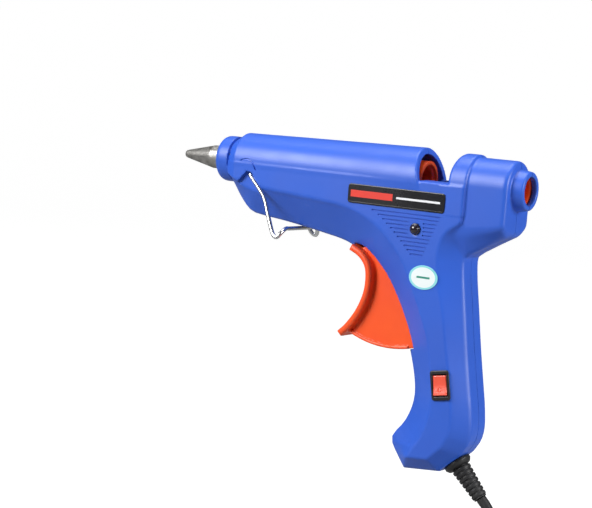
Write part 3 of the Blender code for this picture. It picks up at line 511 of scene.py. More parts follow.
def new_group(name: str, inputs: dict[str, float], outputs: Sequence[str]) -> tuple[bpy.types.NodeTree, Tree, bpy.types.Node, bpy.types.Node]:
    """An empty shader group with number sockets.

    Args:
        name: the group's name.
        inputs: each input's name and its usual value.
        outputs: the outputs' names.
    Returns:
        The group, a builder for it, its input node and its output node.
    """
    group = bpy.data.node_groups.new(name, "ShaderNodeTree")
    for key, value in inputs.items():
        socket = group.interface.new_socket(name=key, in_out="INPUT", socket_type="NodeSocketFloat")
        socket.default_value = value
    for key in outputs:
        group.interface.new_socket(name=key, in_out="OUTPUT", socket_type="NodeSocketFloat")
    build = Tree(group)
    return group, build, build.add("NodeGroupInput"), build.add("NodeGroupOutput")


def grain_group() -> bpy.types.NodeTree:
    """Fine moulded grain and slow waviness: two noises of the piece's own coordinates, as a
    height, and as a tint from 0 to 1."""
    group, build, given, result = new_group(
        "surface_grain", {"Scale": 1500.0, "Wave": 40.0}, ("Height", "Tint", "Smear")
    )
    place = build.add("ShaderNodeTexCoord").outputs["Object"]
    fine = build.add("ShaderNodeTexNoise", Detail=3.0, Roughness=0.6)
    slow = build.add("ShaderNodeTexNoise", Detail=2.0, Roughness=0.5)
    for node, key in ((fine, "Scale"), (slow, "Wave")):
        build.link(place, node.inputs["Vector"])
        build.link(given.outputs[key], node.inputs["Scale"])
    build.link(fine.outputs["Fac"], result.inputs["Height"])
    build.link(build.ramp(slow.outputs["Fac"], 0.35, 0.65), result.inputs["Tint"])
    smear = build.math(
        "ADD", build.math("MULTIPLY", slow.outputs["Fac"], 0.7), build.math("MULTIPLY", fine.outputs["Fac"], 0.3)
    )
    build.link(build.ramp(smear, 0.38, 0.62), result.inputs["Smear"])
    return group


def wear_group() -> bpy.types.NodeTree:
    """Rubbed edges: how sharply the surface turns outwards, broken up by a noise, as a mask."""
    group, build, given, result = new_group("edge_wear", {"Amount": 0.5, "Scale": 300.0}, ("Mask",))
    place = build.add("ShaderNodeTexCoord").outputs["Object"]
    sharp = build.ramp(build.add("ShaderNodeNewGeometry").outputs["Pointiness"], 0.515, 0.58)
    noise = build.add("ShaderNodeTexNoise", Detail=4.0, Roughness=0.6)
    build.link(place, noise.inputs["Vector"])
    build.link(given.outputs["Scale"], noise.inputs["Scale"])
    patch = build.ramp(noise.outputs["Fac"], 0.4, 0.65)
    mask = build.math("MULTIPLY", build.math("MULTIPLY", sharp, patch), given.outputs["Amount"])
    build.link(mask, result.inputs["Mask"])
    return group


@dataclass(frozen=True)
class Finish:
    """A surface finish: two close colours, gloss that varies, grain as relief, and worn edges."""

    name: str
    colour: Point
    shade: Point
    roughness: tuple[float, float] = (0.3, 0.4)
    metallic: float = 0.0
    grain: float = 1500.0
    wave: float = 40.0
    relief: float = 0.05
    wear: float = 0.25
    worn: Point = (0.6, 0.6, 0.6)
    coat: float = 0.0
    specular: float = 0.5
    transmission: float = 0.0
    glow: float = 0.0

    def build(self, groups: dict[str, bpy.types.NodeTree]) -> bpy.types.Material:
        """The finish as a material.

        Args:
            groups: the shared node groups by name.
        Returns:
            The material.
        """
        made = bpy.data.materials.new(self.name)
        made.use_nodes = True
        build = Tree(made.node_tree)
        shader = made.node_tree.nodes["Principled BSDF"]
        grain = build.add("ShaderNodeGroup", node_tree=groups["grain"])
        grain.inputs["Scale"].default_value = self.grain
        grain.inputs["Wave"].default_value = self.wave
        worn = build.add("ShaderNodeGroup", node_tree=groups["wear"])
        worn.inputs["Amount"].default_value = self.wear
        base = build.mix(grain.outputs["Tint"], self.colour, self.shade)
        build.link(build.mix(worn.outputs["Mask"], base, self.worn), shader.inputs["Base Color"])
        build.link(build.ramp(grain.outputs["Smear"], 0.0, 1.0, *self.roughness), shader.inputs["Roughness"])
        bump = build.add("ShaderNodeBump", Strength=0.6, Distance=self.relief * MM)
        build.link(grain.outputs["Height"], bump.inputs["Height"])
        build.link(bump.outputs["Normal"], shader.inputs["Normal"])
        shader.inputs["Metallic"].default_value = self.metallic
        shader.inputs["Specular IOR Level"].default_value = self.specular
        shader.inputs["Coat Weight"].default_value = self.coat
        shader.inputs["Coat Roughness"].default_value = 0.12
        shader.inputs["Transmission Weight"].default_value = self.transmission
        if self.glow:
            shader.inputs["Emission Color"].default_value = (*self.colour, 1.0)
            shader.inputs["Emission Strength"].default_value = self.glow
        return made


FINISHES = (
    Finish(
        "housing", (0.030, 0.118, 0.620), (0.027, 0.108, 0.585), (0.34, 0.44), grain=2200, relief=0.012, wear=0.22, worn=(0.08, 0.19, 0.72)
    ),
    Finish(
        "feed_plastic", (1.0, 0.105, 0.016), (0.93, 0.080, 0.012), (0.32, 0.42), grain=2200, relief=0.012, wear=0.3, worn=(1.0, 0.22, 0.08)
    ),
    Finish(
        "rocker_plastic", (0.86, 0.105, 0.060), (0.80, 0.090, 0.050), (0.22, 0.32), relief=0.008, wear=0.3, worn=(0.95, 0.30, 0.22)
    ),
    Finish(
        "black_plastic", (0.012, 0.012, 0.014), (0.018, 0.018, 0.020), (0.28, 0.42), relief=0.02, wear=0.4, worn=(0.05, 0.05, 0.055)
    ),
    Finish(
        "tie_plastic", (0.014, 0.014, 0.015), (0.02, 0.02, 0.021), (0.35, 0.5), relief=0.02, wear=0.3, worn=(0.06, 0.06, 0.06)
    ),
    Finish(
        "rubber", (0.011, 0.011, 0.012), (0.018, 0.018, 0.019), (0.40, 0.55), grain=1800, relief=0.03, wear=0.35, worn=(0.05, 0.05, 0.05)
    ),
    Finish(
        "cast_metal", (0.44, 0.43, 0.41), (0.27, 0.265, 0.25), (0.34, 0.60), metallic=1.0, grain=900, wave=260, relief=0.16, wear=0.5, worn=(0.75, 0.74, 0.72)
    ),
    Finish(
        "steel", (0.55, 0.56, 0.57), (0.45, 0.46, 0.47), (0.22, 0.36), metallic=1.0, relief=0.02, wear=0.2, worn=(0.75, 0.75, 0.76)
    ),
    Finish(
        "plated_wire", (0.78, 0.79, 0.80), (0.66, 0.67, 0.68), (0.10, 0.22), metallic=1.0, relief=0.01, wear=0.2, worn=(0.9, 0.9, 0.9)
    ),
    Finish(
        "brass", (0.72, 0.52, 0.22), (0.60, 0.42, 0.16), (0.2, 0.34), metallic=1.0, relief=0.01, wear=0.3, worn=(0.85, 0.72, 0.45)
    ),
    Finish("silicone", (0.55, 0.10, 0.05), (0.48, 0.08, 0.04), (0.5, 0.62), relief=0.02),
    Finish("insulator", (0.76, 0.72, 0.62), (0.68, 0.63, 0.52), (0.6, 0.75), grain=1200, relief=0.06),
    Finish("heater_wrap", (0.50, 0.20, 0.02), (0.40, 0.15, 0.015), (0.25, 0.4), relief=0.02),
    Finish("lens", (0.012, 0.008, 0.012), (0.020, 0.010, 0.016), (0.05, 0.10), relief=0.002, wear=0.0, coat=0.6),
    Finish("label", (0.012, 0.012, 0.014), (0.017, 0.016, 0.019), (0.22, 0.30), relief=0.004, wear=0.0),
    Finish("label_red", (0.85, 0.055, 0.035), (0.74, 0.045, 0.03), (0.3, 0.4), relief=0.004, wear=0.0),
    Finish("label_white", (0.86, 0.87, 0.90), (0.78, 0.79, 0.83), (0.3, 0.4), relief=0.004, wear=0.0),
    Finish("sticker", (0.86, 0.93, 0.93), (0.80, 0.89, 0.90), (0.2, 0.3), relief=0.004, wear=0.0),
    Finish("sticker_rim", (0.30, 0.74, 0.80), (0.22, 0.66, 0.62), (0.18, 0.3), relief=0.004, wear=0.0),
    Finish("sticker_ink", (0.04, 0.30, 0.22), (0.03, 0.24, 0.20), (0.3, 0.4), relief=0.004, wear=0.0),
    Finish("lead_red", (0.5, 0.03, 0.02), (0.42, 0.025, 0.02), (0.35, 0.5), relief=0.01),
    Finish("lead_blue", (0.03, 0.1, 0.45), (0.025, 0.08, 0.38), (0.35, 0.5), relief=0.01),
    Finish("lead_brown", (0.16, 0.06, 0.03), (0.13, 0.05, 0.025), (0.35, 0.5), relief=0.01),
)


@dataclass
class Paintbox:
    """Every material by its finish's name, and the pieces that wear them."""

    materials: dict[str, bpy.types.Material] = field(default_factory=dict)

    def fill(self) -> None:
        """Builds the shared groups and every finish."""
        groups = {"grain": grain_group(), "wear": wear_group()}
        for finish in FINISHES:
            self.materials[finish.name] = finish.build(groups)

    def dress(self, piece: bpy.types.Object, finish: str, body: Body, replaces: Sequence[str] = ()) -> bpy.types.Object:
        """Gives a piece its material and its body, and hides the CAD nodes that it stands for.

        Args:
            piece: the object.
            finish: the finish's name.
            body: the body that it rides on.
            replaces: CAD nodes that it hides.
        Returns:
            The piece.
        """
        if not piece.data.materials:
            piece.data.materials.append(self.materials[finish])
        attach(piece, body.value)
        if replaces:
            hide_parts(*replaces)
        LOG.info("piece %s rides on %s", piece.name, body.value)
        return piece


# ---------------------------------------------------------------- the cord

STRAIN_CENTRE = (15.3, -48.6)
STRAIN_DIRECTION = (0.684, -0.729)
STRAIN_LENGTH = 20.5
HOUSING_SLOT = "housing"


def strain_point(distance: float, y: float = 0.0) -> Point:
    """A point on the strain relief's axis, the distance out from the handle's end."""
    return (STRAIN_CENTRE[0] + STRAIN_DIRECTION[0] * distance, y, STRAIN_CENTRE[1] + STRAIN_DIRECTION[1] * distance)


@dataclass
class Cord:
    """The mains cord: a short lead, a hank of five turns held by a tie, and a tail to the plug."""

    radius: float = 2.5
    turns: int = 5
    middle_x: float = 27.0
    top_z: float = -110.0
    bottom_z: float = -166.0
    half_width: float = 15.3
    first_y: float = -10.4
    pitch: float = 5.2
    plug_top: Point = (40.4, 20.2, -145.3)
    pin_spacing: float = 18.6

    def winding(self) -> Array:
        """The hank's centre line: a racetrack of two straight runs and two half circles, its y
        growing by one pitch each turn, and easing out to the tail's in the last one. Angle and run are stepped so that points lie evenly."""
        run = self.top_z - self.bottom_z
        turn = 2 * run + 2 * math.pi * self.half_width
        along = np.linspace(0, self.turns * turn, self.turns * 40)[1:]
        share = np.mod(along - 1e-9, turn)
        half = math.pi * self.half_width
        lap = along / turn
        leave = np.clip((lap - self.turns + 0.3) / 0.3, 0, 1)
        y = self.first_y + self.pitch * np.clip(lap, 0, self.turns - 1) + 6.0 * leave**2 * (3 - 2 * leave)
        down = share < run
        low = (share >= run) & (share < run + half)
        up = (share >= run + half) & (share < 2 * run + half)
        angle = np.where(low, (share - run) / self.half_width, (share - 2 * run - half) / self.half_width)
        x = np.where(
            down, self.half_width, np.where(up, -self.half_width, np.where(low, self.half_width * np.cos(angle), -self.half_width * np.cos(angle)))
        )
        z = np.where(
            down, self.top_z - share, np.where(up, self.bottom_z + share - run - half, np.where(low, self.bottom_z - self.half_width * np.sin(angle), self.top_z + self.half_width * np.sin(angle)))
        )
        return np.stack([self.middle_x + x, y, z], 1)

    def route(self) -> Array:
        """The whole centre line from the strain relief to the plug."""
        lead = smooth_path([
            strain_point(STRAIN_LENGTH + 0.3), strain_point(STRAIN_LENGTH + 6), (37.8, -1.6, -74.5),
            (41.2, -4.6, -82.5), (42.3, -8.2, -90.5), (42.3, -10.2, -98.9), (42.3, self.first_y, self.top_z),
        ], 18)
        winding = self.winding()
        tail = smooth_path([
            winding[-1], (42.3, 16.5, -117.0), (42.0, 17.2, -124.0), (41.3, 18.4, -131.0), (40.6, 19.6, -138.0), (40.4, 20.2, -145.3),
        ], 16)
        return np.vstack([lead, winding, tail[1:]])

    def build(self, paint: Paintbox) -> None:
        route = self.route()
        cord = curve_piece("mains_cord", route, self.radius, 5, as_mesh=False)
        paint.dress(cord, "rubber", Body.GUN, ("cord_lead", "cord_hank", "cord_tail"))
        plug = self.plug(paint)
        pins = [self.pin(paint, index) for index in (1, 2)]
        tie = self.tie(paint)

    def plug(self, paint: Paintbox) -> bpy.types.Object:
        """A flat two-pin plug: a waisted outline made thick, with grip ribs across its neck."""
        x, y, z = self.plug_top
        outline = np.array([
            (x - 4.2, z), (x + 4.2, z), (x + 5.2, z - 10), (x + 10.5, z - 22), (x + 17.6, z - 31), (x + 17.6, z - 38),
            (x - 17.6, z - 38), (x - 17.6, z - 31), (x - 10.5, z - 22), (x - 5.2, z - 10),
        ])

        def solid(px: Array, py: Array, pz: Array) -> Array:
            """The outline's distance joined with the thickness, less shallow rings at the neck."""
            flat = loop_distance(*np.broadcast_arrays(px, pz), outline)[0]
            half = np.interp(pz, [z - 38, z - 30, z - 20, z - 8, z], [6.6, 6.6, 5.9, 4.7, 4.3])
            ribs = 0.45 * np.clip(np.cos((pz - z) * 2 * math.pi / 3.6) * 3, 0, 1) * (pz > z - 17) * (pz < z - 2)
            return smooth_max(flat + ribs, np.abs(py - y) - half + ribs, 2.4)

        made = solid_piece("mains_plug", solid, (x - 19, y - 8, z - 39.2), (x + 19, y + 8, z + 1.2), 0.62)
        return paint.dress(made, "black_plastic", Body.GUN, ("plug_body",))

    def pin(self, paint: Paintbox, index: int) -> bpy.types.Object:
        """A round pin with a domed end and an insulating sleeve's step."""
        x, y, z = self.plug_top
        place = (x + (2 * index - 3) * self.pin_spacing / 2, y, z - 38.3)
        profile = rounded([(0, 0), (0, 1.9), (8.6, 1.9), (8.7, 1.98), (18.7, 1.98), (18.7, 0)], 1.2)
        made = lathe(f"mains_pin_{index}", profile, place, (0, 0, -1), 28)
        return paint.dress(made, "brass", Body.GUN, (f"plug_pin_{index}",))

    def tie(self, paint: Paintbox) -> bpy.types.Object:
        """A flat strap round the hank: a rounded box's shell."""
        low, high = (Vector(corner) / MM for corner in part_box("cord_tie"))
        middle = (low + high) / 2
        half = (high - low) / 2

        def solid(px: Array, py: Array, pz: Array) -> Array:
            """Distance to a rounded rectangle outside, less the same rectangle 0.9 smaller."""
            def ring(inset: float) -> Array:
                return smooth_max(np.abs(px - middle.x) - half.x + inset, np.abs(py - middle.y) - half.y + inset, 7.0)
            strap = np.maximum(np.maximum(ring(0.0), -ring(0.9)), np.abs(pz - middle.z) - half.z)
            return np.broadcast_arrays(strap, pz)[0]

        made = solid_piece("hank_tie", solid, tuple(low - Vector((1, 1, 1))), tuple(high + Vector((1, 1, 1))), 0.45)
        return paint.dress(made, "tie_plastic", Body.GUN, ("cord_tie",))


@dataclass
class StrainRelief:
    """The tapered rubber sleeve where the cord leaves the handle, with cut rings and a flange."""

    rings: int = 7

    def build(self, paint: Paintbox) -> None:
        """Turns the profile: a flange, a shoulder, then rings that shrink towards the cord."""
        profile = [
            (-13.5, 0), (-13.5, 2.2), (-9.0, 2.2), (-9.0, 3.8), (0.3, 3.8), (0.3, 6.6), (1.5, 6.7), (3.0, 5.6), (3.5, 4.0)
        ]
        step = (STRAIN_LENGTH - 4.2) / self.rings
        for index in range(self.rings):
            start = 4.0 + index * step
            radius = 4.7 - 0.17 * index
            profile += [
                (start, radius - 0.55), (start + 0.15, radius), (start + step - 0.75, radius - 0.1), (start + step - 0.6, radius - 0.65)
            ]
        profile += [(STRAIN_LENGTH - 0.2, 3.3), (STRAIN_LENGTH, 2.9), (STRAIN_LENGTH, 0)]
        made = lathe(
            "cord_sleeve", rounded(profile, 0.2, 3), strain_point(0), (STRAIN_DIRECTION[0], 0, STRAIN_DIRECTION[1]), 48
        )
        paint.dress(made, "rubber", Body.GUN, ("strain_relief",))


# ---------------------------------------------------------------- the housing

@dataclass
class Housing:
    """The two half shells: barrel, body and handle, upright, rear block and collar."""

    neck_front: float = -126.0
    neck_rear: float = -117.6
    neck_r: float = 11.2
    cone_r: float = 10.8
    barrel_front: float = -112.7
    barrel_front_r: float = 13.6
    barrel_rear: float = -14.2
    barrel_rear_r: float = 15.2
    half_body: float = 14.8
    wall: float = 2.2
    floor_z: float = 80.5
    step_x: float = 14.0
    block_r: float = 13.2
    block_rear: float = 34.2
    collar_end: float = 40.0
    rear_half: float = 7.6
    nose_half: float = 3.0
    pitch: float = 0.6
    parting: float = 0.06
    stand: tuple[float, float] = (-102.8, 74.0)
    screws: tuple[tuple[float, float, float], ...] = (
        (-109.5, 65.0, 5.5), (-58.0, 59.5, 5.5), (5.5, 62.5, 8.6), (25.5, 65.5, 7.6),
        (8.2, -0.3, 8.6), (12.2, -28.5, 8.6),
    )
    lens: tuple[float, float] = (-9.3, 57.8)
    front_edge: tuple[tuple[float, float], ...] = (
        (-118.5, 69.0), (-113.6, 61.8), (-107.6, 55.9), (-100.5, 54.2), (-86.0, 52.6),
        (-66.0, 49.6), (-50.5, 46.4), (-38.5, 39.6), (-28.6, 29.8), (-19.4, 15.4),
        (-13.2, 1.0), (-9.2, -13.0), (-8.6, -23.0), (-11.8, -33.2), (-16.6, -40.2),
        (-16.6, -44.6), (-8.2, -55.0),
    )
    front_side: tuple[tuple[float, float], ...] = (
        (-118.5, 73.5), (-110.0, 70.6), (-100.0, 69.2), (-92.0, 68.5), (-78.0, 67.4),
        (-61.0, 66.1), (-50.0, 65.0), (-39.0, 61.6), (-27.6, 55.4), (-15.2, 42.8),
        (-5.8, 25.4), (1.9, 7.8), (5.0, -8.0), (6.3, -22.0), (3.2, -36.4), (-4.0, -48.2),
    )
    rear_edge: tuple[tuple[float, float], ...] = (
        (20.4, -43.8), (23.8, -38.0), (24.9, -31.5), (24.0, -22.0), (22.6, -14.0),
        (19.4, 4.0), (16.6, 22.0), (14.4, 36.0), (13.6, 44.0), (14.0, 47.4),
    )
    rear_side: tuple[tuple[float, float], ...] = (
        (13.6, -41.0), (16.6, -35.0), (17.2, -28.0), (16.4, -19.0), (14.6, -9.0),
        (11.2, 6.0), (8.4, 20.0), (5.2, 31.0), (3.4, 40.0), (3.0, 49.0), (6.0, 57.5),
        (14.0, 63.0),
    )
    edge_map: Raster | None = None
    thick_map: Raster | None = None
    slot_map: Raster | None = None
    pocket_map: Raster | None = None

    def side_half(self, x: Array) -> Array:
        """Half the body's thickness at x: a short cone, a slow taper, then constant."""
        return np.interp(
            x, [self.neck_rear, self.barrel_front, -46.0], [self.cone_r, self.barrel_front_r, self.half_body]
        )

    def survey(self) -> None:
        """Fills the side-view rasters. Half the thickness falls in a straight line from the border
        of the flat side to the mid-plane edge, by the ratio of the distances to the two loops."""
        low, pitch = (-124.0, -60.0), 0.25
        x, z = np.meshgrid(np.arange(low[0], 42.0, pitch), np.arange(low[1], 86.0, pitch), indexing="ij")
        front = smooth_path(self.front_edge, 60)
        rear = smooth_path(self.rear_edge, 36)
        roof = np.array([(self.step_x, self.floor_z), (-118.5, self.floor_z)])
        edge = np.vstack([front, [(10.2, -53.4)], rear, roof])
        half = np.concatenate([
            self.nose_half + (self.rear_half - self.nose_half) * np.clip((np.linspace(0, 1, 60) - 0.84) / 0.16, 0, 1),
            np.full(39, self.rear_half),
        ])
        side = np.vstack([smooth_path(self.front_side, 60), [(6.8, -47.4)], smooth_path(self.rear_side, 36), roof])
        to_edge, half_at = loop_distance(x, z, edge, half)
        to_side, deep_at = loop_distance(x, z, side, self.side_half(side[:, 0]))
        inward, outward = np.maximum(-to_edge, 0), np.maximum(to_side, 0)
        share = (inward + 1e-6) / (inward + outward + 1e-6)
        deep = np.where(to_side < 0, self.side_half(x), deep_at)
        thick = half_at + (deep - half_at) * share
        self.edge_map = Raster(low, pitch, to_edge)
        self.thick_map = Raster(low, pitch, blur(thick, pitch, 0.45))
        slot = np.vstack([
            [(-47.9, 40.0), (-50.0, 10.0)], arc((-23.5, 49.5), 50.35, -112, -58, 28),
            [(-14.0, 54.0), (-30.0, 55.5), (-31.8, 48.7), (-40.0, 46.1), (-46.0, 46.9), (-47.6, 43.8)],
        ])
        self.slot_map = Raster(low, pitch, loop_distance(x, z, slot)[0])
        px, pz = self.stand
        pocket = np.array([
            (px - 1.9, pz + 1.7), (px - 7.2, pz - 4.4), (px - 12.0, pz - 22.0), (px + 17.5, pz - 22.0),
            (px + 14.6, pz - 15.0), (px + 11.3, pz - 11.3), (px + 8.6, pz - 9.0), (px + 5.0, pz - 5.1), (px + 1.2, pz + 0.7),
        ])
        self.pocket_map = Raster(low, pitch, loop_distance(x, z, pocket)[0])

    def block_floor(self, x: Array) -> tuple[Array, Array]:
        """The rear block's underside at x, and the height where its flanks start."""
        stations = [8.0, 14.6, 17.4, 25.0, self.block_rear]
        return np.interp(x, stations, [46.9, 47.3, 49.4, 53.9, 59.0]), np.interp(
            x, stations, [59.0, 59.0, 59.1, 60.4, 62.6]
        )

    def block(self, x: Array, y: Array, z: Array, inset: float) -> Array:
        """The rear block's distance: a round top, straight sides, sloping flanks and a floor."""
        radius, half = self.block_r - inset, self.rear_half - 0.5 * inset
        floor, shoulder = self.block_floor(x)
        floor = floor + inset * 1.1
        wide = np.where(z > AXIS_Z, np.hypot(y, z - AXIS_Z), np.abs(y)) - radius
        drop = shoulder - floor
        size = np.hypot(drop, radius - half)
        flank = ((np.abs(y) - radius) * drop + (shoulder - z) * (radius - half)) / size
        shape = smooth_max(smooth_max(wide, flank, 1.6), (floor - z) * 0.87, 1.6)
        shape = smooth_max(shape, x - self.block_rear + inset, 2.4)
        return np.maximum(shape, 8.0 + inset - x)

    def outside(self, x: Array, y: Array, z: Array) -> Array:
        """The filled shape's distance: body, barrel, upright, block and collar with soft joins."""
        slant = (np.abs(y) - self.thick_map.at(x, z)) * 0.86
        body = smooth_max(slant, self.edge_map.at(x, z), 1.4)
        radial = np.hypot(y, z - AXIS_Z)
        profile = np.interp(
            x,
            [
                self.neck_front, self.neck_rear - 0.7, self.neck_rear - 0.45, self.neck_rear + 0.1, self.neck_rear + 0.4, self.barrel_front, self.barrel_rear
            ],
            [
                self.neck_r, self.neck_r, self.neck_r - 0.9, self.neck_r - 0.9, self.cone_r - 0.2, self.barrel_front_r, self.barrel_rear_r
            ],
        )
        barrel = smooth_max(radial - profile, self.neck_front - x, 3.2)
        end = (x - self.barrel_rear - 0.255 * (95.2 - z)) * 0.97
        barrel = smooth_max(barrel, np.maximum(end, x + 8.2), 0.7)
        rise = np.maximum(z - AXIS_Z - 4, 0) / 14.4
        arch = smooth_max(np.where(z > AXIS_Z, radial - 14.4, np.abs(y) - 14.7), 4.6 + 2.6 * rise**2 - x, 2.2)
        arch = smooth_max(np.maximum(arch, 66.0 - z), x - self.step_x, 0.8)
        collar = smooth_max(radial - np.interp(x, [33.2, 34.8, 39.6], [9.8, 9.6, 8.9]), x - self.collar_end, 0.9)
        collar = np.maximum(collar, 30.0 - x)
        shape = smooth_min(body, barrel, 0.5)
        shape = smooth_min(shape, arch, 0.5)
        shape = smooth_min(shape, self.block(x, y, z, 0.0), 1.0)
        return smooth_min(shape, collar, 0.6)

    def hollow(self, x: Array, y: Array, z: Array) -> Array:
        """The distance to the hollow inside: the body's and the block's, less the screw posts,
        and the stepped bore on the barrel's axis."""
        inner = np.maximum((np.abs(y) - self.thick_map.at(x, z) + self.wall * 1.1) * 0.86, self.edge_map.at(x, z) + 2.5)
        inner = np.maximum(inner, np.maximum(z - 70.6, np.where(x < -88.0, np.abs(y) - 10.4, -9.0)))
        inner = np.minimum(inner, self.block(x, y, z, self.wall))
        for px, pz, _ in self.screws:
            inner = np.maximum(inner, 2.9 - np.hypot(x - px, z - pz))
        bore = np.hypot(y, z - AXIS_Z) - np.interp(
            x,
            [-122.7, -122.5, -116.6, self.barrel_front, -16.1, -15.9, -9.9, -9.7, 4.1, 4.3, 37.1, 37.3],
            [7.3, 9.9, 9.9, 11.2, 13.0, 12.2, 12.2, 7.0, 7.0, 7.9, 7.9, 6.6],
        )
        return np.minimum(inner, bore)

    def whole(self, x: Array, y: Array, z: Array) -> Array:
        """The moulded shape before it is parted: hollowed, with the trigger's slot, the stand's
        pockets and holes, and the cord's hole."""
        shape = smooth_max(self.outside(x, y, z), -self.hollow(x, y, z), 0.5)
        shape = smooth_max(shape, -np.maximum(self.slot_map.at(x, z), np.abs(y) - 5.25), 0.5)
        shape = smooth_max(shape, -np.maximum(self.pocket_map.at(x, z), 11.6 - np.abs(y)), 0.5)
        shape = np.maximum(shape, 1.3 - np.hypot(x - self.stand[0], z - self.stand[1]))
        along = (x - STRAIN_CENTRE[0]) * STRAIN_DIRECTION[0] + (z - STRAIN_CENTRE[1]) * STRAIN_DIRECTION[1]
        across = (x - STRAIN_CENTRE[0]) * STRAIN_DIRECTION[1] - (z - STRAIN_CENTRE[1]) * STRAIN_DIRECTION[0]
        hole = np.maximum(np.hypot(across, y) - 4.3, np.abs(along + 4.5) - 7.5)
        return np.maximum(shape, -hole)

    def left(self, x: Array, y: Array, z: Array) -> Array:
        """The left half: the whole shape on this side of the parting plane, with the switch's
        window and the lens's post and hole."""
        lens = np.hypot(x - self.lens[0], z - self.lens[1])
        shape = np.minimum(self.whole(x, y, z), np.maximum(lens - 4.1, np.abs(y + 11.6) - 2.4))
        shape = np.maximum(shape, 2.7 - lens)
        u, v = Switch.frame(x, z)
        window = np.maximum(np.maximum(np.abs(u) - 4.1, np.abs(v) - 6.2), np.abs(y + 14) - 4)
        return smooth_max(np.maximum(shape, -window), y + self.parting, 0.2)

    def right(self, x: Array, y: Array, z: Array) -> Array:
        """The right half, with a counterbored hole for each screw."""
        shape = self.whole(x, y, z)
        for px, pz, seat in self.screws:
            away = np.hypot(x - px, z - pz)
            post = np.maximum(np.maximum(away - 4.2, seat - 1.4 - y), self.outside(x, y, z) + 0.2)
            shape = np.minimum(shape, post)
        for px, pz, seat in self.screws:
            away = np.hypot(x - px, z - pz)
            shape = smooth_max(shape, -np.minimum(away - 1.5, np.maximum(away - 2.9, seat - y)), 0.4)
        return smooth_max(shape, self.parting - y, 0.2)

    def grooves(self) -> list[tuple[Point, Point]]:
        """Eleven shallow grooves under the label, each shorter than the last, as boxes."""
        found = []
        for index in range(11):
            share = index / 10
            z = 64.3 - 18.2 * share
            left, right = -33.0 + 22.0 * share**0.8, 3.0 - 7.4 * share
            gap = 3.8 if abs(z - self.lens[1]) < 3.4 else 0.0
            spans = ((left, self.lens[0] - gap), (self.lens[0] + gap, right)) if gap else ((left, right),)
            found += [((x0, -16.0, z - 0.32), (x1, -self.half_body + 0.5, z + 0.32)) for x0, x1 in spans]
        return found

    def crescent(self, side: int) -> bpy.types.Object:
        """The thin curved groove over the stand's pivot, as a wire laid on the barrel's surface."""
        line = smooth_path([(-108.6, 80.4), (-104.9, 81.3), (-101.7, 79.9), (-99.6, 76.7), (-98.7, 73.6)], 20)
        radius = np.interp(line[:, 0], [self.barrel_front, self.barrel_rear], [self.barrel_front_r, self.barrel_rear_r])
        y = np.sqrt(np.maximum(radius**2 - (line[:, 1] - AXIS_Z) ** 2, 0))
        return curve_piece("crescent", np.stack([line[:, 0], side * (y + 0.05), line[:, 1]], 1), 0.5, 2)

    def build(self, paint: Paintbox) -> None:
        """Makes both halves."""
        self.survey()
        left = solid_piece("left_shell", self.left, (-133.0, -16.1, -56.6), (41.2, 0.5, 96.6), self.pitch)
        carve(left, join_meshes(boxes("grille", self.grooves()), [self.crescent(-1)]))
        right = solid_piece("right_shell", self.right, (-133.0, -0.5, -56.6), (41.2, 16.1, 96.6), self.pitch)
        carve(right, self.crescent(1))
        for shell, node in ((left, "left_housing"), (right, "right_housing")):
            shell.data.polygons.foreach_set("use_smooth", [True] * len(shell.data.polygons))
            shell.data.set_sharp_from_angle(angle=math.radians(42))
            paint.dress(shell, HOUSING_SLOT, Body.GUN, (node,))


# ---------------------------------------------------------------- trigger and feed

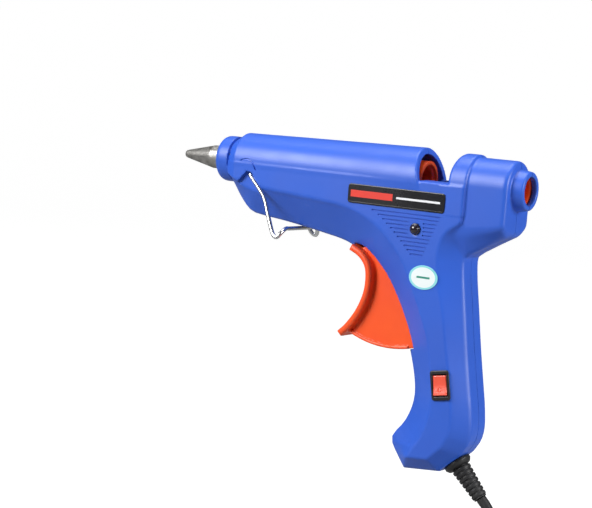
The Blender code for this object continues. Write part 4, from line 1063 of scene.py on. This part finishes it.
@dataclass
class Trigger:
    """The trigger: a thick web, a wide curved rim for the fingers and a lip along its foot."""

    pivot: tuple[float, float] = (-23.5, 49.5)
    reach: float = 50.0
    web_half: float = 5.0
    rim_half: float = 9.2

    def front(self, offset: float) -> Array:
        """The finger's side, moved back by offset along its normal."""
        path = smooth_path([
            (-47.2, 43.6), (-41.6, 40.8), (-38.0, 36.6), (-36.9, 30.6), (-37.6, 23.6), (-40.8, 15.6), (-45.6, 8.6), (-50.0, 4.2),
        ], 40)
        ahead = np.gradient(path, axis=0)
        ahead /= np.linalg.norm(ahead, axis=1)[:, None]
        return path + offset * np.stack([-ahead[:, 1], ahead[:, 0]], 1)

    def build(self, paint: Paintbox) -> None:
        """Makes the trigger from three outlines in the side view, each with its own thickness."""
        px, pz = self.pivot
        front = self.front(0.0)
        near = front[np.hypot(front[:, 0] - px, front[:, 1] - pz) < self.reach - 1]
        web = np.vstack([
            near, arc(self.pivot, self.reach, -119, -73, 24), [
                (-11.6, 12.0), (-15.6, 22.0), (-18.6, 30.0), (px + 4.6, 42.0)
            ],
            arc(self.pivot, 5.2, -30, 80, 9), [(-25.5, 54.7), (-31.0, 48.0), (-40.0, 45.6)],
        ])
        rim = np.vstack([front, self.front(3.2)[::-1]])
        groove = np.vstack([self.front(3.2), self.front(4.5)[::-1]])
        lip = np.vstack(
            [arc(self.pivot, self.reach, -119.5, -77, 30), arc(self.pivot, self.reach - 1.5, -77, -119.5, 30)]
        )

        low, pitch = (-52.0, -3.0), 0.2
        gx, gz = np.meshgrid(np.arange(low[0], -10, pitch), np.arange(low[1], 70, pitch), indexing="ij")
        maps = [Raster(low, pitch, loop_distance(gx, gz, loop)[0]) for loop in (web, rim, groove, lip)]

        def solid(x: Array, y: Array, z: Array) -> Array:
            """The web joined with the rim and the lip, with a channel behind the rim."""
            in_web, in_rim, in_groove, in_lip = (m.at(x, z) for m in maps)
            wide = np.abs(y)
            shape = smooth_max(in_web, wide - self.web_half, 0.6)
            shape = smooth_max(shape, -np.maximum(in_groove, self.web_half - 0.8 - wide), 0.3)
            crown = wide - self.rim_half + 0.0012 * (z - 24.0) ** 2
            shape = smooth_min(shape, smooth_max(in_rim, crown, 1.6), 0.3)
            shape = smooth_min(shape, smooth_max(in_lip, wide - self.web_half - 0.9, 0.6), 0.3)
            arm = np.maximum(np.maximum(np.abs(x - px) - 3.2, wide - 5.4), np.abs(z - 57.35) - 9.85)
            arm = np.maximum(arm, -np.maximum(wide - 3.1, 55.6 - z))
            arm = np.maximum(arm, -np.maximum(np.abs(x - px) - 1.55, 63.4 - z))
            hub = np.maximum(np.hypot(x - px, z - pz) - 4.6, wide - 6.2)
            tail = np.maximum(np.maximum(wide - 1.6, np.abs(z - 51.7) - 1.3), np.abs(x + 14.75) - 8.75)
            shape = np.minimum(np.minimum(shape, arm), np.minimum(hub, tail))
            return np.maximum(shape, 1.8 - np.hypot(x - px, z - pz))

        made = solid_piece("finger_trigger", solid, (-52.4, -10.2, -2.2), (-4.4, 10.2, 69.0), 0.45)
        made.data.set_sharp_from_angle(angle=math.radians(45))
        paint.dress(made, "feed_plastic", Body.TRIGGER, ("trigger",))


@dataclass
class Feed:
    """The carriage seen through the open notch, and the guide in the rear collar."""

    def build(self, paint: Paintbox) -> None:
        """Turns the carriage's ring with its cheeks and fins, and the rear guide."""
        def carriage(x: Array, y: Array, z: Array) -> Array:
            """A tube with a flared mouth, two fins in the rails and two cheeks for the jaw."""
            radial = np.hypot(y, z - AXIS_Z)
            ring = smooth_max(np.maximum(radial - 9.0, np.abs(x + 23.0) - 11.0), 6.6 - radial, 0.5)
            ring = np.maximum(ring, 7.4 - radial - 0.9 * np.clip(-(x + 13.2), 0, 1.5))
            fins = np.maximum(np.maximum(np.abs(y) - 12.0, np.abs(z - AXIS_Z) - 1.1), np.abs(x + 24.5) - 9.5)
            cheeks = np.maximum(np.maximum(np.abs(y) - 5.7, np.abs(z - 71.15) - 2.85), np.abs(x + 24.75) - 7.25)
            shape = np.minimum(ring, np.minimum(fins, cheeks))
            shape = np.maximum(shape, 6.6 - radial)
            shape = np.maximum(shape, -np.maximum(np.maximum(np.abs(y) - 2.9, z - 75.0), x + 16.0))
            return np.maximum(shape, 1.25 - np.hypot(x + 23.5, z - 70.5))

        made = solid_piece("stick_carriage", carriage, (-35.0, -12.8, 67.6), (-11.2, 12.8, 89.8), 0.4)
        made.data.set_sharp_from_angle(angle=math.radians(45))
        paint.dress(made, "feed_plastic", Body.CARRIAGE, ("feed_carriage",))
        profile = rounded([(5.0, 6.5), (5.0, 7.6), (36.9, 7.6), (36.9, 7.0), (36.1, 6.5), (5.0, 6.5)], 0.25, 2)
        guide = lathe("collar_guide", profile, (0, 0, AXIS_Z), (1, 0, 0), 64)
        paint.dress(guide, "feed_plastic", Body.GUN, ("rear_guide",))


# ---------------------------------------------------------------- small parts

@dataclass
class Switch:
    """The rocker switch in its black frame on the handle's left side."""

    centre: tuple[float, float] = (10.9, -12.0)

    @staticmethod
    def frame(x: Array, z: Array) -> tuple[Array, Array]:
        """The point (x, z) as distances across and up the switch's face."""
        c, s = math.cos(math.radians(10.5)), math.sin(math.radians(10.5))
        dx, dz = x - 10.9, z + 12.0
        return dx * c + dz * s, dz * c - dx * s

    def build(self, paint: Paintbox) -> None:
        """Makes the frame with its well, and a rocker with a dished face and a raised mark."""
        def bezel(x: Array, y: Array, z: Array) -> Array:
            """A rounded frame over a case, with a well for the rocker."""
            u, v = self.frame(x, z)
            rim = smooth_max(smooth_max(np.abs(u) - 4.8, np.abs(v) - 6.9, 1.4), np.abs(y + 15.35) - 0.45, 0.4)
            case = np.maximum(np.maximum(np.abs(u) - 3.7, np.abs(v) - 5.8), np.abs(y + 10.4) - 4.7)
            well = np.maximum(np.maximum(np.abs(u) - 3.65, np.abs(v) - 5.15), np.abs(y + 15.2) - 3.4)
            return smooth_max(np.minimum(rim, case), -well, 0.3)

        def rocker(x: Array, y: Array, z: Array) -> Array:
            """Two planes that meet at a shallow valley, the lower one pressed out."""
            u, v = self.frame(x, z)
            face = np.interp(v, [-4.6, 0.0, 4.6], [-16.9, -15.85, -15.6]) - 0.05 * np.clip(1 - (np.abs(v) / 1.2), 0, 1)
            side = smooth_max(np.abs(u) - 3.4, np.abs(v) - 4.6, 0.5)
            mark = np.hypot(u, (v + 2.3) * 1.0)
            dent = 0.12 * (np.abs(mark - 0.9) < 0.22)
            return smooth_max(smooth_max(side, face + dent - y, 0.6), y + 13.2 + 0.06 * v**2, 0.3)

        x, z = self.centre
        frame = solid_piece("switch_frame", bezel, (x - 7.6, -16.4, z - 9.4), (x + 7.6, -5.0, z + 9.4), 0.25)
        paint.dress(frame, "black_plastic", Body.GUN, ("switch_body",))
        made = solid_piece("rocker_cap", rocker, (x - 5.2, -17.6, z - 6.2), (x + 5.2, -12.4, z + 6.2), 0.14)
        paint.dress(made, "rocker_plastic", Body.ROCKER, ("rocker",))
        for piece in (frame, made):
            piece.data.set_sharp_from_angle(angle=math.radians(50))


@dataclass
class Trim:
    """The lens, the label and the sticker on the left side, and the screws on the right."""

    face_y: float = -14.8

    def build(self, paint: Paintbox) -> None:
        """Makes each piece of trim."""
        x, z = -9.3, 57.8
        dome = [(5.5, 2.6), (5.6, 2.2), (6.3, 1.9), (6.9, 1.2), (7.1, 0.5), (7.12, 0)]
        lens = lathe(
            "lamp_lens", rounded([(0, 0), (0, 2.35), (5.0, 2.35), (5.0, 2.65), *dome], 0.18, 3), (x, -10.0, z), (0, -1, 0), 40
        )
        paint.dress(lens, "lens", Body.GUN, ("indicator_lens",))
        self.label(paint)
        self.sticker(paint)
        for index, (sx, sz, seat) in enumerate(Housing().screws):
            self.screw(paint, index + 1, (sx, seat + 0.3, sz), seat)

    def strips(self, name: str, spans: Sequence[tuple[float, float, float, float]], top: float, finish: str, paint: Paintbox) -> bpy.types.Object:
        """Thin raised strips (x0, x1, z0, z1) on the left face, as boxes."""
        made = boxes(name, [((a, top, c), (b, self.face_y - 0.1, d)) for a, b, c, d in spans])
        made.data.materials.append(paint.materials[finish])
        return made

    def label(self, paint: Paintbox) -> None:
        """A black plate with rounded corners, and one plain red and one plain white band."""
        low, high = (Vector(corner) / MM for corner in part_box("name_label"))
        cx, cz = (low.x + high.x) / 2, (low.z + high.z) / 2
        wide, tall = (high.x - low.x) / 2, (high.z - low.z) / 2

        def plate(x: Array, y: Array, z: Array) -> Array:
            """A rounded rectangle with a faint raised border."""
            flat = np.hypot(np.maximum(np.abs(x - cx) - wide + 1.4, 0), np.maximum(np.abs(z - cz) - tall + 1.4, 0)) - 1.4
            border = 0.06 * np.clip(1 - np.abs(flat + 0.5) / 0.3, 0, 1)
            return smooth_max(flat, np.maximum(low.y - border - y, y - high.y), 0.12)

        made = solid_piece(
            "side_label", plate, (low.x - 0.6, low.y - 0.5, low.z - 0.6), (high.x + 0.6, high.y + 0.4, high.z + 0.6), 0.2
        )
        made.data.materials.append(paint.materials["label"])
        top = low.y - 0.05
        red = self.strips("red_band", [(-44.7, -22.4, 69.4, 72.6)], top, "label_red", paint)
        white = self.strips("white_band", [(-20.4, 2.4, 70.5, 71.5)], top, "label_white", paint)
        join_meshes(made, [red, white])
        paint.dress(made, "label", Body.GUN, ("name_label",))

    def sticker(self, paint: Paintbox) -> None:
        """An oval film: rings of one ellipse scaled in steps, an even blue-green rim and one plain bar."""
        low, high = (Vector(corner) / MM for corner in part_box("oval_sticker"))
        cx, cz = (low.x + high.x) / 2, (low.z + high.z) / 2
        wide, tall = (high.x - low.x) / 2, (high.z - low.z) / 2
        scale = np.array([0.0, 0.3, 0.6, 0.76, 0.84, 0.97, 1.0, 1.0, 0.0])
        depth = np.array([0.05, 0.05, 0.05, 0.05, 0.03, 0.03, 0.0, -0.16, -0.16])
        angle = np.linspace(0, 2 * math.pi, 64, endpoint=False)
        grid = np.stack([
            cx + wide * scale[:, None] * np.cos(angle), np.repeat((low.y - depth)[:, None], 64, 1), cz + tall * scale[:, None] * np.sin(angle),
        ], 2)
        made = mesh_piece("oval_film", grid.reshape(-1, 3), grid_faces(len(scale), 64), smooth=False)
        for name in ("sticker", "sticker_rim"):
            made.data.materials.append(paint.materials[name])
        centre = np.empty(len(made.data.polygons) * 3)
        made.data.polygons.foreach_get("center", centre)
        centre = centre.reshape(-1, 3) / MM
        reach = np.hypot((centre[:, 0] - cx) / wide, (centre[:, 2] - cz) / tall)
        rim = reach > 0.8
        made.data.polygons.foreach_set("material_index", rim.astype(int))
        bar = self.strips("film_bar", [(cx - 3.4, cx + 3.4, cz - 0.45, cz + 0.45)], low.y - 0.08, "sticker_ink", paint)
        join_meshes(made, [bar])
        paint.dress(made, "sticker", Body.GUN, ("oval_sticker",))

    def screw(self, paint: Paintbox, index: int, place: Point, seat: float) -> None:
        """A pan-head screw with a cross recess: a turned shape less two crossed wedges."""
        reach = seat + 0.3 + 5.0
        x, y, z = place

        def solid(px: Array, py: Array, pz: Array) -> Array:
            """The head's dome and the shank with its thread as a spiral swelling."""
            radial = np.hypot(px - x, pz - z)
            up = py - y
            head = smooth_max(radial - 2.45, np.maximum(-up, (np.hypot(radial, up + 1.4) - 3.3)), 0.4)
            turn = np.arctan2(pz - z, px - x) / (2 * math.pi)
            thread = 0.22 * np.abs(np.mod(up / 1.1 + turn, 1.0) * 2 - 1)
            shank = np.maximum(
                radial - 1.2 + thread * (up < -1.2), np.maximum(up - 0.2, -reach + 0.3 - up + 0.5 * radial)
            )
            arms = np.minimum(
                np.maximum(np.abs(px - x) - 0.33, np.abs(pz - z) - 1.4), np.maximum(np.abs(pz - z) - 0.33, np.abs(px - x) - 1.4)
            )
            cross = np.maximum(arms, 0.7 + 0.35 * radial - up)
            return np.maximum(np.minimum(head, shank), -cross)

        made = solid_piece(f"case_screw_{index}", solid, (x - 3, y - reach - 0.4, z - 3), (x + 3, y + 2.4, z + 3), 0.22)
        made.data.set_sharp_from_angle(angle=math.radians(40))
        paint.dress(made, "steel", Body.GUN, (f"housing_screw_{index}",))


@dataclass
class HotEnd:
    """The cast nozzle and the pale ring behind it."""

    def build(self, paint: Paintbox) -> None:
        """Turns the nozzle with a rounded tip, and its insulating ring."""
        profile = [
            (-136.0, 0), (-143.0, 0.85), (-149.9, 0.9), (-150.0, 1.2), (-149.8, 1.65), (-148.8, 2.05), (-140.0, 4.05), (-132.9, 5.66),
            (-132.2, 5.7), (-125.0, 5.7), (-125.0, 4.2), (-117.0, 4.2), (-117.0, 0),
        ]
        nozzle = lathe("cast_nozzle", rounded(profile, 0.3, 3), (0, 0, AXIS_Z), (1, 0, 0), 64)
        paint.dress(nozzle, "cast_metal", Body.GUN, ("nozzle",))
        ring = lathe(
            "nozzle_ring", rounded([(-122.3, 7.2), (-122.3, 9.6), (-117.3, 9.6), (-117.3, 7.2), (-122.3, 7.2)], 0.3, 2), (0, 0, AXIS_Z), (1, 0, 0), 48
        )
        paint.dress(ring, "insulator", Body.GUN, ("nozzle_collar",))


@dataclass
class Stand:
    """The bent wire that the gun rests on."""

    pivot: tuple[float, float] = (-102.8, 74.0)

    def build(self, paint: Paintbox) -> None:
        """One wire: in from a pivot, down the side, round a hook and across, then mirrored."""
        x, z = self.pivot
        near = smooth_path([
            (x, -10.3, z), (x, -12.8, z), (x + 0.4, -13.4, z - 0.4), (x + 9.4, -14.4, z - 9.6),
            (x + 14.0, -16.2, z - 18.0), (x + 18.4, -17.8, z - 26.4), (x + 21.2, -18.4, z - 28.2),
            (x + 22.8, -17.0, z - 25.8), (x + 23.4, -14.0, z - 23.9), (x + 23.4, -11.6, z - 23.9),
        ], 60)
        far = near[::-1] * np.array((1, -1, 1))
        made = curve_piece("rest_wire", np.vstack([near, far]), 1.0, 5)
        paint.dress(made, "plated_wire", Body.STAND, ("wire_stand",))


# ---------------------------------------------------------------- the studio

@dataclass
class Studio:
    """The camera, the pale floor that sweeps up behind, and the soft lamps."""

    aim: Point = (-81.0, 0.0, 37.1)
    azimuth: float = 31.10
    elevation: float = 5.38
    roll: float = 4.74
    distance: float = 900.0
    lens: float = 112.1

    def camera(self) -> None:
        """Sets a camera that looks at the aim from the azimuth and elevation, then rolls."""
        az, el, roll = (math.radians(v) for v in (self.azimuth, self.elevation, self.roll))
        back = Vector((math.sin(az) * math.cos(el), -math.cos(az) * math.cos(el), math.sin(el)))
        right = Vector((math.cos(az), math.sin(az), 0))
        up = right.cross(-back)
        across = right * math.cos(roll) + up * math.sin(roll)
        rise = up * math.cos(roll) - right * math.sin(roll)
        data = bpy.data.cameras.new("camera")
        data.lens = self.lens
        data.sensor_width = 36.0
        data.clip_end = 20.0
        made = new_object("camera", data)
        place = Vector(self.aim) * MM + back * self.distance * MM
        turn = Matrix((across, rise, back)).transposed().to_4x4()
        made.matrix_world = Matrix.Translation(place) @ turn
        bpy.context.scene.camera = made

    def lamp(self, name: str, place: Point, aim: Point, size: float, power: float) -> None:
        """A square soft lamp at place, in metres, facing aim."""
        data = bpy.data.lights.new(name, "AREA")
        data.size = size
        data.energy = power
        made = new_object(name, data)
        made.location = place
        made.rotation_euler = (Vector(aim) - Vector(place)).to_track_quat("-Z", "Y").to_euler()

    def floor(self) -> None:
        """A pale sheet: flat out to a radius, then curving up into a wall all round."""
        radius = np.concatenate(
            [[0.0], np.linspace(0.3, 3.2, 14), 3.2 + 1.2 * np.sin(np.linspace(0.1, math.pi / 2, 12)), [4.4]]
        )
        height = np.concatenate([np.zeros(15), 1.2 - 1.2 * np.cos(np.linspace(0.1, math.pi / 2, 12)), [5.0]])
        angle = np.linspace(0, 2 * math.pi, 64, endpoint=False)
        grid = np.stack(
            [radius[:, None] * np.cos(angle), radius[:, None] * np.sin(angle), np.repeat(height[:, None], 64, 1) - 0.206], 2
        )
        mesh = bpy.data.meshes.new("studio_floor")
        mesh.from_pydata(grid.reshape(-1, 3).tolist(), [], grid_faces(len(radius), 64).tolist())
        mesh.polygons.foreach_set("use_smooth", [True] * len(mesh.polygons))
        floor = new_object("studio_floor", mesh)
        material = bpy.data.materials.new("studio_paper")
        material.use_nodes = True
        build = Tree(material.node_tree)
        shader = material.node_tree.nodes["Principled BSDF"]
        noise = build.add("ShaderNodeTexNoise", Scale=3.0)
        build.link(
            build.mix(build.ramp(noise.outputs["Fac"], 0.3, 0.7), (0.24, 0.24, 0.24), (0.26, 0.26, 0.26)), shader.inputs["Base Color"]
        )
        shader.inputs["Roughness"].default_value = 0.9
        shader.inputs["Emission Color"].default_value = (1, 1, 1, 1)
        seen = build.add("ShaderNodeLightPath").outputs["Is Camera Ray"]
        build.link(build.ramp(seen, 0.0, 1.0, 0.06, 0.95), shader.inputs["Emission Strength"])
        mesh.materials.append(material)

    def build(self) -> None:
        """Sets the camera, the floor, the lamps and the world's light."""
        scene = bpy.context.scene
        scene.view_settings.view_transform = "Standard"
        self.camera()
        self.floor()
        self.lamp("top_lamp", (-0.2, 0.1, 1.3), (-0.03, 0.0, 0.04), 0.9, 11.5)
        self.lamp("side_lamp", (-0.55, -0.8, 0.55), (-0.03, 0.0, 0.03), 0.55, 13.4)
        self.lamp("rear_lamp", (1.3, 0.0, 0.45), (0.0, 0.0, 0.03), 0.6, 17.0)
        world = bpy.data.worlds.new("studio")
        world.use_nodes = True
        world.node_tree.nodes["Background"].inputs["Color"].default_value = (1, 1, 1, 1)
        world.node_tree.nodes["Background"].inputs["Strength"].default_value = 0.14
        scene.world = world


def dress_frame(frame: dict, paint: Paintbox) -> None:
    """Gives every CAD node that stays visible the procedural material of its own slot.

    Args:
        paint: the materials.
    """
    slots = {part["node"]: part["material_slot"] for part in frame["record"]["subparts"]}
    for name, node in frame["nodes"].items():
        material = paint.materials[slots[name]]
        node.data.materials.clear()
        node.data.materials.append(material)
        LOG.info("CAD node %s wears %s", name, slots[name])


def main() -> None:
    """Loads the frame and builds every sub-assembly round it."""
    logging.basicConfig(level=logging.INFO, format="%(name)s: %(message)s")
    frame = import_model()
    paint = Paintbox()
    paint.fill()
    Studio().build()
    dress_frame(frame, paint)
    for assembly in (Cord(), StrainRelief(), Housing(), Trigger(), Feed(), Switch(), Trim(), HotEnd(), Stand()):
        assembly.build(paint)
        LOG.info("%s is built", type(assembly).__name__)


if __name__ == "__main__":
    main()
